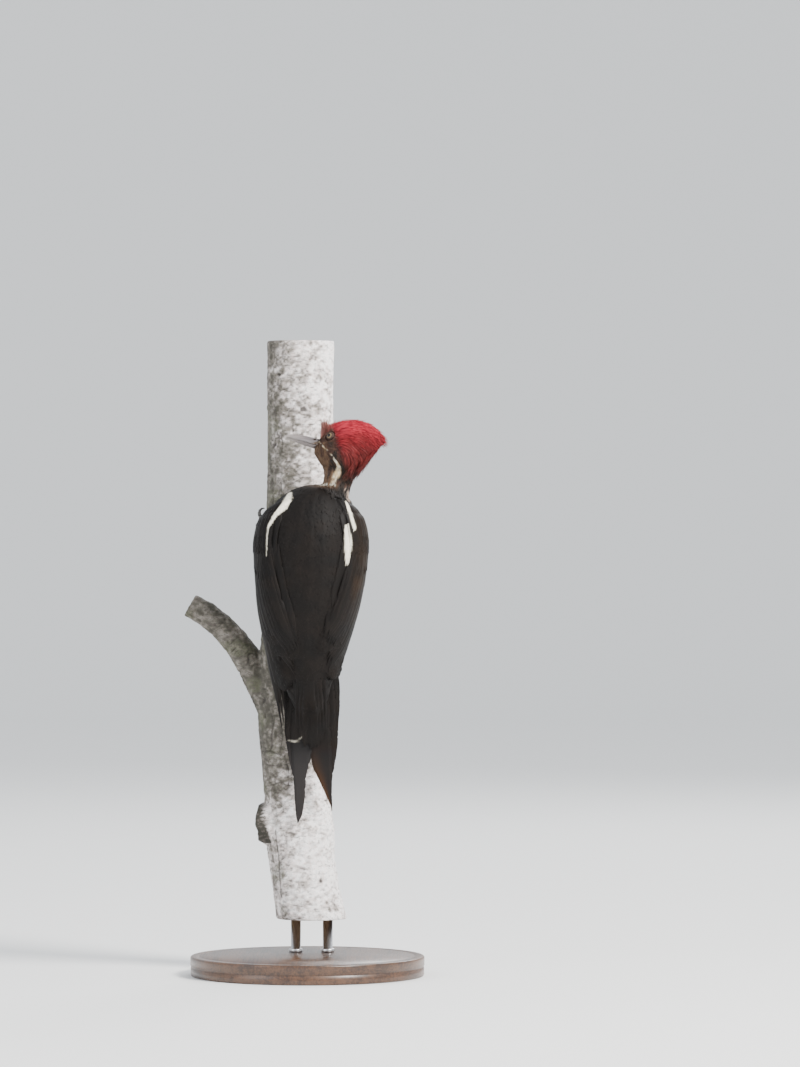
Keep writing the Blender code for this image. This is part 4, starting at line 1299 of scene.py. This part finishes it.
def makeTail(paint):
    names = [f"tail_feather_{side}_{number}" for side in bothSides for number in range(1, 6)]
    found = [middleLine(name, len(tailVane)) for name in names]
    paths, halfWidths = (eased(np.array(some), rounds) for some, rounds in zip(zip(*found), (10, 4)))
    # each feather lies close under the one before it, and their roots fill the space under the coverts
    tailFace = [(z, y) for _, y, z in found[0][0]]
    rootward = smooth(0.190, 0.215, paths[..., 2])
    order = np.tile(np.arange(5), 2)[:, None]
    paths[..., 1] = fromTable(tailFace, paths[..., 2])[0] - rectrix["rootDepth"] * rootward
    paths[..., 1] += order * (rectrix["step"] + rectrix["rootDepth"] * rootward)
    grid, up = layVanes(paths, nearUps(paths), halfWidths, rectrix, -0.1 * mm, onSkin=False)
    for side, some in (("left", slice(0, 5)), ("right", slice(5, 10))):
        grid[some] = fitted(grid[some], names[some], rectrix[side])
    share = tailVane[None, :, None, None]
    edge = np.array(vaneColumns)[None, None, :, None]
    onRight = (np.arange(10) >= 5)[:, None, None, None]
    wearAndSheen = smooth(0.50, 0.92, share) * np.where(onRight, 0.95 * smooth(-0.3, 0.9, edge) + 0.10, 0.05)
    grey = np.where(onRight, 0.5, 1.0) * smooth(0.205, 0.165, grid[..., 2:])
    base = np.maximum(coloursOf(grid), np.array(rectrix["grey"]) * grey)
    colours = blend(base, rectrix["brown"], wearAndSheen[..., 0]) * tones(10, 0.15)
    maps = vaneMaps(grid, paths[:, 8], roundBody, lengthsOf(paths), halfWidths.max(1))
    thickness = rectrix["thickness"] + rectrix["rootDepth"] * smooth(0.190, 0.215, grid[..., 2:])
    slabs = [thicken(grid, up, thickness, colours, maps)]
    addBlades("coat_tail", slabs, paint, names)
    makeTailCoverts(tailFace, paint)


def makeTailCoverts(tailFace, paint):
    # long coverts run from the rump down over the roots of the tail
    cover, steps = rectrix["coverts"], 24
    lines = []
    for count, root, tip, edge in cover["rows"]:
        for share in np.linspace(-1, 1, count):
            lowest = tip + (edge - tip) * share**2 + cover["unevenness"] * rng.normal()
            height = np.linspace(root, lowest, steps)
            lines.append(stacked(bodyAxis[0] + share * np.linspace(*cover["spread"], steps), 0, height))
    paths = np.array(lines)
    count = len(paths)
    depth = fromTable(tailFace, paths[..., 2])[0] - 1.0 * mm
    clear = 0.6 * mm * smooth(0.05, 0.30, np.linspace(0, 1, steps)) - 0.1 * mm
    for i, k in np.ndindex(count, steps):
        hit = skinTree.ray_cast((paths[i, k, 0], -0.2, paths[i, k, 2]), (0, 1, 0), 0.2)
        if hit[0]:
            depth[i, k] = min(depth[i, k], hit[0][1] - clear[k])
    limit = depth.copy()
    for _ in range(30):
        depth = np.minimum(eased(depth, 1), limit)
    paths[..., 1] = depth
    halfWidths = cover["halfWidth"] * rng.uniform(0.9, 1.1, count)
    form = dict(flight, tilt=0.0, round=0.06, ragged=0.02, profile=flight["profile"] ** 0.35)
    grid, up = layVanes(paths, nearUps(paths), halfWidths, form, 0.3 * mm * rng.random(count), onSkin=False)
    colours = coloursOf(grid) * tones(count, 0.15)
    maps = vaneMaps(grid, paths[:, 4], roundBody, lengthsOf(paths), halfWidths)
    addBlades("coat_tail_coverts", [thicken(grid, up, 0.12 * mm, colours, maps)], paint)


stiff = featherPaint("flightFeathers", 0.54, 0.13, 18, 0.03 * mm)
for side in bothSides:
    makeWing(side, stiff)
makeTail(stiff)
print("flight feathers laid")


# Bill, in its own axes: x along it, y to the bird's left, z up

bill = {
    "stations": 70,
    "sides": 33,
    "rise": 0.055,
    "root": 2.0 * mm,  # how far it reaches into the head
    "bill_upper": {"sign": 1, "colour": (0.215, 0.185, 0.182), "deeper": 1.25 * mm},
    # painted shade: the lower mandible is darker and browner than the upper one, for the shade under the bill
    "bill_lower": {"sign": -1, "colour": (0.170, 0.138, 0.130), "deeper": 0.4 * mm},
    "tip": (0.36, 0.32, 0.29),
}


def facingOut(points, faces):
    # turns the faces round if the closed surface is inside out
    total = 0
    for some in faces:
        for k in range(1, some.shape[1] - 1):
            a, b, c = (points[some[:, corner]] - points[0] for corner in (0, k, k + 1))
            total += np.sum(np.cross(a, b) * c)
    return faces if total > 0 else [some[:, ::-1] for some in faces]


def makeMandible(node, paint):
    half = bill[node]
    sign = half["sign"]
    points, faces, _ = joinNodes([node])
    local = (points - headRoot) @ billAxes.T
    at = np.linspace(local[:, 0].min() + 0.05 * mm, local[:, 0].max() - 0.05 * mm, bill["stations"])
    cuts = [sliceAt(local, faces, 0, place) for place in at]
    sizes = np.array([(cut[:, 2].max(), cut[:, 2].min(), cut[:, 1].max(), cut[:, 1].min()) for cut in cuts])
    high, low, left, right = eased(sizes[None], 6)[0].T[..., None]
    beyond = np.maximum(at, 0)[:, None]
    deeper = half["deeper"] * smooth(0, 16 * mm, beyond) * (1 - 0.65 * smooth(18 * mm, 30 * mm, beyond))
    reach = high - low + deeper
    edge = (low if sign > 0 else high) + bill["rise"] * beyond
    at[0] -= bill["root"]
    at = at[:, None]
    turn = np.linspace(-math.pi / 2, math.pi / 2, bill["sides"])
    # a rounded roof with a narrow ridge, hollow flanks and a thin cutting edge
    across = (left - right) / 2 * np.sin(turn) * (1 - 0.05 * np.cos(turn * 2) ** 2)
    rise = np.cos(turn) ** 0.9 + 0.06 * bell(0.16, turn) - 0.05 * bell(0.22, np.abs(turn) - 0.75)
    middle = (left + right) / 2
    top = stacked(at, middle + across, edge + sign * reach * rise / 1.06)
    lip = stacked(at, middle + across * 0.9, edge)[:, -2:0:-1]
    rings = np.concatenate([top, lip], 1)
    points, faces = capped(rings, rings[0].mean(0), rings[-1].mean(0) + [0.3 * mm, 0, 0])
    along = (points[:, 0] - at[0]) / (at[-1] - at[0])
    tint = blend(half["colour"], bill["tip"], smooth(0.35, 1.0, along) * 0.8)
    tint = tint * (0.85 + 0.25 * noise(points, (9 * mm, 0.8 * mm, 0.8 * mm), 12))[:, None]
    points = fromBill(points)
    addPiece("horn_" + node, points, facingOut(points, faces), paint, tint, stands=[node])


def makeBill():
    paint = Paint("billHorn", Roughness=0.34, Coat_Weight=0.25, Coat_Roughness=0.25)
    grain = paint.noise(paint.place((1, 1, 3)), 0.9 * mm, 5)
    paint.feed("Base Color", paint.mix(grain * 0.5, paint.tint(), (0.55, 0.5, 0.48), "MULTIPLY"))
    paint.feed("Roughness", grain * 0.25 + 0.26)
    paint.bump(grain, 0.04 * mm, 0.5)
    for node in ("bill_upper", "bill_lower"):
        makeMandible(node, paint)


makeBill()


# Eyes: a ball with a slight bulge over the iris, set into folded lids

eye = {
    "pupil": 1.35 * mm, "iris": 2.75 * mm, "bulge": 0.08, "sink": 1.70 * mm, "tilt": (0.28, 0.30),
    "lids": (  # distance from the middle of the eye, height over the ball's centre
        (2.25, 2.30), (2.28, 2.55), (2.38, 2.70), (2.52, 2.74), (2.66, 2.66), (2.78, 2.50), (2.88, 2.40),
        (2.98, 2.45), (3.10, 2.43), (3.22, 2.31), (3.32, 2.20), (3.42, 2.14), (3.54, 2.07), (3.68, 1.90),
        (3.80, 1.60), (3.90, 1.20), (3.95, 0.70), (3.90, 0.10), (3.60, -0.20), (3.30, 0.20), (3.00, 0.90),
        (2.70, 1.70),
    ),
}


def eyeAxes(side):
    # where the ball's centre lies, and directions across the eye, up it and out of it
    sign = 1 if side == "left" else -1
    away = unit(headFrame[1] * sign + eye["tilt"][0] * headFrame[0] + eye["tilt"][1] * headFrame[2])
    across = unit(np.cross(away, headFrame[2]))
    return middleOf("eye_" + side) - away * eye["sink"], np.array([across, np.cross(across, away), away])


def makeEye(side):
    centre, axes = eyeAxes(side)
    low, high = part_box("eye_" + side)
    radius = (high[2] - low[2]) / 2 * 0.95
    polar = np.linspace(0.03, math.pi - 0.03, 40)[:, None]
    turn = np.linspace(0, fullTurn, 56, endpoint=False)
    reach = radius * (1 + eye["bulge"] * bell(0.55, polar))
    out = reach * np.sin(polar)
    rings = stacked(out * np.cos(turn), out * np.sin(turn), reach * np.cos(polar)) @ axes
    points, faces = capped(rings, axes[2] * reach[0], -axes[2] * radius)
    points = points + centre
    gloss = {"Roughness": 0.12, "Specular_IOR_Level": 0.2, "Coat_Weight": 0.25, "Coat_Roughness": 0.03}
    paint = Paint("eye_" + side, **gloss)
    off = paint.vector("SUBTRACT", paint.place(), tuple(centre))
    ring = paint.vector("LENGTH", paint.vector("CROSS_PRODUCT", off, tuple(axes[2])), out="Value")
    streaks = paint.noise(paint.place(), 0.35 * mm, 4)
    widest = 4 * mm
    pupil, rim = eye["pupil"] / widest, eye["iris"] / widest
    stops = [
        (0.0, (0.004, 0.003, 0.003)), (pupil, (0.004, 0.003, 0.003)), (pupil + 0.02, (0.075, 0.050, 0.026)),
        (0.47, (0.175, 0.120, 0.064)), (rim - 0.10, (0.110, 0.074, 0.042)), (rim, (0.030, 0.022, 0.018)),
    ]
    where = (ring + (streaks - 0.5) * 0.15 * mm) * (1 / widest)
    paint.feed("Base Color", paint.node("ValToRGB", {"stops": stops}, {"Fac": where}))
    addPiece("eyeball_" + side, points, facingOut(points, faces), paint, stands=["eye_" + side])


def makeLids(side, paint):
    centre, axes = eyeAxes(side)
    turn = np.linspace(0, fullTurn, 120, endpoint=False)
    radius, height = np.array(eye["lids"]).T[..., None] * mm
    inner = smooth(5.2 * mm, 2.4 * mm, radius)
    # the opening is a little longer than tall, and fine wrinkles run out from it
    radius = radius * (1 + 0.085 * inner * np.cos(2 * turn) + 0.02 * inner * np.cos(3 * turn))
    wrinkles = 0.05 * mm * np.sin(turn * 31) + 0.05 * mm * np.sin(turn * 13 + 1)
    height = height + inner * (wrinkles + 0.18 * mm * np.sin(turn) ** 3) * (height > 2.3 * mm)
    rings = stacked(radius * np.cos(turn), radius * np.sin(turn), height) @ axes + centre
    rows, columns = rings.shape[:2]
    points = rings.reshape(-1, 3)
    lumps = 0.12 * mm * noise(points, 1.1 * mm, 45) + 0.10 * mm * noise(points, 3 * mm, 47)
    points = points + axes[2] * lumps[:, None]
    tint = colour["bareSkin"] * (1 + 0.35 * noise(points, 1.2 * mm, 46))[:, None]
    faces = facingOut(points, [gridFaces(rows + 1, columns, wrap=True) % (rows * columns)])
    addPiece("lids_" + side, points, faces, paint, tint)


def makeEyes():
    lids = Paint("lidSkin", Roughness=0.65, Specular_IOR_Level=0.25)
    lids.feed("Base Color", lids.tint())
    lids.bump(lids.noise(lids.place(), 0.3 * mm, 3), 0.05 * mm, 0.6)
    for side in bothSides:
        makeEye(side)
        makeLids(side, lids)


makeEyes()
print("bill and eyes made")


# Claws keep their solids, rounded and finished as horn

def finishClaws():
    paint = Paint("clawHorn", Roughness=0.3, Coat_Weight=0.3, Coat_Roughness=0.2)
    grain = paint.noise(paint.place((1, 1, 0.4)), 0.7 * mm, 3)
    paint.feed("Base Color", paint.mix(grain, (0.020, 0.018, 0.017), (0.090, 0.080, 0.072)))
    paint.bump(grain, 0.03 * mm, 0.5)
    for name in [name for name in nodes if name.startswith("claw_")]:
        node = nodes[name]
        node.data.materials.clear()
        node.data.materials.append(paint.material)
        rounding = node.modifiers.new("rounding", "REMESH")
        rounding.mode, rounding.voxel_size, rounding.use_smooth_shade = "VOXEL", 0.16 * mm, True
        evened = node.modifiers.new("evened", "SMOOTH")
        evened.factor, evened.iterations = 0.5, 12


finishClaws()


# Perch: the trunk's bark, with cracks, plates and pits

bark = {
    "voxel": 1.0 * mm,
    # the trunk's middle line: height and x, and its y
    "centre": ((0.044, 0.003), (0.10, -0.006), (0.20, -0.014), (0.32, -0.0065), (0.515, -0.0064)),
    "depth": 0.030,
    "branchAxes": ((0.69, 0, 0.72), (0, 1, 0), (-0.72, 0, 0.69)),
    "pits": (  # height, angle from the near side, radius
        (0.4585, 6, 3.4 * mm), (0.487, -38, 2.0 * mm), (0.430, -52, 2.6 * mm), (0.222, -60, 3.0 * mm),
        (0.076, 30, 2.4 * mm), (0.300, 120, 3.5 * mm), (0.390, 170, 4.0 * mm), (0.160, 200, 4.5 * mm),
    ),
    "cracks": (  # seen from the near side: x, height, half width
        ((-0.0270, 0.2080, 0.0003), (-0.0292, 0.1960, 0.0007), (-0.0300, 0.1820, 0.0006)),
        ((-0.0385, 0.1800, 0.0004), (-0.0300, 0.1815, 0.0007), (-0.0185, 0.1770, 0.0004)),
        ((-0.0375, 0.1705, 0.0004), (-0.0260, 0.1690, 0.0005), (-0.0130, 0.1712, 0.0004)),
        ((-0.0230, 0.2060, 0.0003), (-0.0205, 0.1930, 0.0005), (-0.0225, 0.1800, 0.0003)),
        ((-0.0340, 0.1520, 0.0003), (-0.0230, 0.1560, 0.0005), (-0.0120, 0.1530, 0.0003)),
        ((-0.0260, 0.1180, 0.0003), (-0.0235, 0.0900, 0.0006), (-0.0215, 0.0620, 0.0003)),
    ),
    "knotAt": (0.026, 0.1235),  # y, height
    "knot": (  # the broken knot low on the left: height, its end, and where its dark face begins
        (0.107, -0.0355, -0.0285), (0.110, -0.0385, -0.0300), (0.117, -0.0412, -0.0320),
        (0.122, -0.0425, -0.0335), (0.130, -0.0417, -0.0350), (0.137, -0.0398, -0.0360),
        (0.1405, -0.0365, -0.0365),
    ),
    "flecks": 420,  # short dark cracks across the grain
    "pale": (0.74, 0.68, 0.655),
    "sunny": (0.95, 0.92, 0.90),
    "grey": (0.200, 0.182, 0.155),
    "shade": (0.058, 0.054, 0.040),
    "dark": (0.022, 0.018, 0.014),
    # painted shade: the broken knot's end and hollow take a darker copy of the shade colour
    "knotFace": (0.0319, 0.0297, 0.0220),
    "moss": (0.100, 0.108, 0.060),
    "paintedLightAt": (  # painted light and shade on the near side, lit on the right and shaded on the left: height, at the left, in the middle and at the right
        (0.040, 0.62, 0.88, 0.85), (0.130, 0.60, 0.88, 1.0), (0.145, 0.40, 0.60, 1.0),
        (0.160, 0.14, 0.36, 0.95), (0.200, 0.06, 0.25, 0.85), (0.330, 0.05, 0.22, 0.60),
        (0.395, 0.24, 0.52, 0.90), (0.515, 0.30, 0.62, 1.0),
    ),
}


def makeBark():
    perchPoints, perchFaces, _ = joinNodes(["perch_trunk"])
    points, quads = remeshed(perchPoints, perchFaces, bark["voxel"], 3)
    low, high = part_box("perch_trunk")
    # the broken knot low on the left ends in a blunt stub
    knotY, knotZ = bark["knotAt"]
    stub = smooth(-0.0295, -0.0325, points[:, 0])
    stub = stub * smooth(0.0160, 0.0130, np.hypot(points[:, 1] - knotY, points[:, 2] - knotZ))
    knotEnd, knotEdge = fromTable(bark["knot"], points[:, 2])
    points[:, 0] += stub * (knotEnd + 0.8 * mm * noise(points, 5 * mm, 27) - points[:, 0])
    outwards = pointNormals(points, quads)
    x, y, z = points.T
    centre = fromTable(bark["centre"], z)[0]
    turn = np.degrees(np.arctan2(x - centre, -(y - bark["depth"])))
    onTrunk = np.hypot(x - centre, y - bark["depth"]) < 0.034
    face = smooth(0.6 * mm, 2.2 * mm, np.minimum(z - low[2], high[2] - z))  # keeps the sawn ends flat
    grain = np.where(onTrunk[:, None], points, points @ np.array(bark["branchAxes"]))

    lumps = 0.45 * mm * noise(points, 17 * mm, 20) + 0.30 * mm * noise(points, (7 * mm, 7 * mm, 4 * mm), 21)
    scales = noise(points, (3.2 * mm, 3.2 * mm, 1.9 * mm), 22)
    plates = 0.24 * mm * np.sign(scales) * np.abs(scales) ** 0.6
    grit = 0.12 * mm * noise(points, 1.5 * mm, 23)
    across = np.clip((x - centre) / 0.027, -1, 1)
    # painted light and shade: lighter to the right where the light falls, darker to the left, and the branch
    # painted dark, lighter below the knot
    left, middle, right = fromTable(bark["paintedLightAt"], z)
    light = middle + (np.where(across < 0, left, right) - middle) * np.abs(across)
    light = np.where(onTrunk, light, np.where(z < 0.16, 0.5, 0.16))
    seam = np.abs(noise(grain * [1, 1, 1 / 9], 4.2 * mm, 24))
    broken = smooth(-0.1, 0.3, noise(grain, 11 * mm, 25))
    fissure = (1 - smooth(0.015, 0.09, seam)) * smooth(0.75, 0.30, light) * broken

    def aside(angle):  # how far round the trunk from this angle
        return np.radians((turn - angle + 180) % 360 - 180) * 0.028

    crack = np.zeros(len(points))
    spots = np.random.default_rng(3)
    for _ in range(bark["flecks"]):
        height, off = spots.uniform(low[2], high[2]), aside(spots.uniform(-180, 180))
        wide, tall = spots.uniform(1.0, 4.2) * mm, spots.uniform(0.35, 0.9) * mm
        mark = 1 - ((off / wide) ** 2 + ((z - height + 0.1 * off) / tall) ** 2)
        crack = np.maximum(crack, np.clip(mark, 0, 1) * onTrunk)
    wander = stacked(*(some + 0.7 * mm * noise(points, 4 * mm, seed) for some, seed in ((x, 33), (z, 34))))
    for line in bark["cracks"]:
        crack = np.maximum(crack, alongLine(wander, line, 0.5 * mm) * (outwards[:, 1] < 0))
    pit = np.zeros(len(points))
    for height, angle, radius in bark["pits"]:
        away = np.hypot(aside(angle), (z - height) * 1.25) / radius + 0.25 * noise(points, 2.2 * mm, 26)
        pit = np.maximum(pit, smooth(1.15, 0.5, away) * onTrunk)

    # painted shade in the knot's hollow and on its end, which faces away from the light
    fromKnot = np.hypot(y - knotY, z - knotZ) + 1.2 * mm * noise(points, 4 * mm, 27)
    hollow = smooth(0.0095, 0.0060, fromKnot) * (x < -0.036)
    inKnot = np.maximum(hollow, smooth(0, -1.2 * mm, x - knotEdge) * (np.abs(z - knotZ) < 0.0175))
    depth = lumps + plates + grit - 0.9 * mm * fissure - 0.5 * mm * crack - 1.3 * mm * pit
    points = points + outwards * (depth * face)[:, None]
    points[:, 0] += hollow * 5.0 * mm

    dark = np.clip(0.7 * fissure + 0.8 * crack + 1.1 * pit + 0.30 * smooth(0.1, -0.7, scales), 0, 1)
    patches = 0.22 * noise(points, 10 * mm, 29) + 0.34 * noise(points, (4.5 * mm, 4.5 * mm, 3.2 * mm), 30)
    patches += 0.34 * noise(points, (2.2 * mm, 2.2 * mm, 1.6 * mm), 31)
    light = np.clip(light + patches * np.where(onTrunk, 0.58 + 0.50 * light, 0.45), 0, 1)
    moss = smooth(0.05, 0.45, noise(points, 14 * mm, 32)) * smooth(-0.004, -0.020, x - centre)
    colours = np.array(bark["shade"])
    # the bark steps from its shade colour to its sunny colour by the painted light, then takes moss, the knot
    # and dark cracks
    for key, share in (
        ("grey", smooth(0.0, 0.35, light)), ("pale", smooth(0.30, 0.78, light)),
        ("sunny", smooth(0.72, 1.0, light)),
        ("moss", 0.45 * moss), ("knotFace", inKnot), ("dark", dark * 0.9),
    ):
        colours = blend(colours, bark[key], share)
    perch = addPiece("perch_bark", points, [quads], barkPaint(), colours, stands=["perch_trunk"])
    perch.data.materials.append(sawnPaint().material)
    for side in perch.data.polygons:
        if abs(side.normal.z) > 0.8 and min(side.center.z - low[2], high[2] - side.center.z) < 0.9 * mm:
            side.material_index = 1


def barkPaint():
    paint = Paint("bark", Roughness=0.9)
    tint = paint.tint()
    fine = paint.noise(paint.place((1, 1, 1.6)), 1.1 * mm, 6, 0.65)
    coarse = paint.noise(paint.place((1, 1, 1.9)), 3.4 * mm, 6, 0.60)
    light = paint.node("RGBToBW", None, {0: tint})
    # dark flecks, denser where the bark is grey
    flecks = (1 - fine.step(0.37, 0.45)) * (1.0 - light * 0.62)
    blots = (1 - coarse.step(0.39, 0.46)) * (0.95 - light * 0.72)
    warm = paint.mix(coarse.step(0.45, 0.65) * 0.5, tint, (0.95, 0.84, 0.82), "MULTIPLY")
    spotted = paint.mix(blots, warm, (0.085, 0.070, 0.060))
    paint.feed("Base Color", paint.mix(flecks, spotted, (0.045, 0.037, 0.030)))
    paint.feed("Roughness", 0.95 - fine * 0.2)
    paint.bump(fine * 0.7 + coarse * 0.3, 0.30 * mm, 0.9)
    return paint


def sawnPaint():
    # the sawn ends, with growth rings
    paint = Paint("sawnWood", Roughness=0.75)
    middle = paint.vector("SUBTRACT", paint.place(), (-0.0055, 0.031, 0))
    radius = paint.vector("LENGTH", paint.vector("MULTIPLY", middle, (1, 1, 0)), out="Value")
    at = radius + paint.noise(paint.place(), 9 * mm, 3) * 1.6 * mm
    rings = (at * (fullTurn / (1.5 * mm))).sine() * 0.5 + 0.5
    wood = paint.mix(rings * 0.8, (0.56, 0.40, 0.24), (0.34, 0.20, 0.10))
    paint.feed("Base Color", paint.mix(at.step(24.6 * mm, 25.6 * mm), wood, (0.09, 0.055, 0.035)))
    paint.bump(rings, 0.08 * mm, 0.5)
    return paint


makeBark()
print("bark made")


# Display stand: a turned wooden base and two steel rods with collars

stand = {
    "rim": 1.6 * mm,
    "side": (  # in from the edge, and height as a share of the base's
        (0.4, 0.42), (1.0, 0.46), (1.0, 0.50), (0.1, 0.54),
    ),
    "collarRadius": 5.6 * mm,
    "collarHeight": 3.0 * mm,
    "collarEdge": 0.4 * mm,
}


def makeBase():
    wood = Paint("turnedWood", Roughness=0.38, Coat_Weight=0.35, Coat_Roughness=0.22)
    broad = wood.noise(wood.place((1, 0.10, 1)), 11 * mm, 4)
    lines = wood.noise(wood.place((1, 0.03, 1)), 1.6 * mm, 5)
    pores = wood.noise(wood.place((1, 0.06, 1)), 0.6 * mm, 4)
    figure = (broad * 0.5 + lines * 0.5).step(0.36, 0.62)
    dark = wood.mix(figure, (0.034, 0.015, 0.008), (0.105, 0.048, 0.023))
    wood.feed("Base Color", wood.mix((1 - pores.step(0.30, 0.46)) * 0.6, dark, (0.014, 0.007, 0.004)))
    wood.feed("Roughness", pores * 0.2 + 0.28)
    wood.bump(pores, 0.05 * mm, 0.4)
    _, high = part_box("stand_base")
    radius, tall, rim = high[0], high[2], stand["rim"]
    edge = radius - 0.1 * mm
    profile = [(0, 0), (radius - 2.2 * mm, 0), (radius - 0.8 * mm, 0.3 * mm), (radius - 0.4 * mm, 1.2 * mm)]
    profile += [(radius - inset * mm, share * tall) for inset, share in stand["side"]]
    for turn in np.linspace(0, math.pi / 2, 7):
        profile.append((edge - rim * (1 - math.cos(turn)), tall + rim * math.sin(turn) - rim))
    profile += [(radius - 7 * mm, tall), (radius - 7.6 * mm, tall - 0.5 * mm), (radius - 8.2 * mm, tall)]
    profile += [(0.02, tall), (0, tall)]
    lathe("stand_base_turned", profile, (0, 0), 160, wood, ["stand_base"])


def makeRods():
    steel = Paint("brushedSteel", Metallic=1.0, Roughness=0.3)
    brushed = steel.noise(steel.place((30, 30, 1)), 4 * mm, 3)
    steel.feed("Base Color", steel.mix(brushed, (0.52, 0.52, 0.53), (0.66, 0.66, 0.67)))
    steel.feed("Roughness", brushed * 0.22 + 0.2)
    steel.bump(brushed, 0.02 * mm, 0.4)
    collar, tall, edge = stand["collarRadius"], stand["collarHeight"], stand["collarEdge"]
    for side in bothSides:
        low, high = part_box("stand_rod_" + side)
        radius = (high[0] - low[0]) / 2
        ring = [(0, 0), (collar - edge, 0), (collar, edge)]
        ring += [(collar, tall - edge), (collar - edge, tall), (radius, tall)]
        profile = [(r, low[2] + z) for r, z in ring] + [(radius, high[2] - 0.1 * mm), (0, high[2])]
        centre = middleOf("stand_rod_" + side)[:2]
        lathe("stand_rod_steel_" + side, profile, centre, 48, steel, ["stand_rod_" + side])


makeBase()
makeRods()
print("stand made")
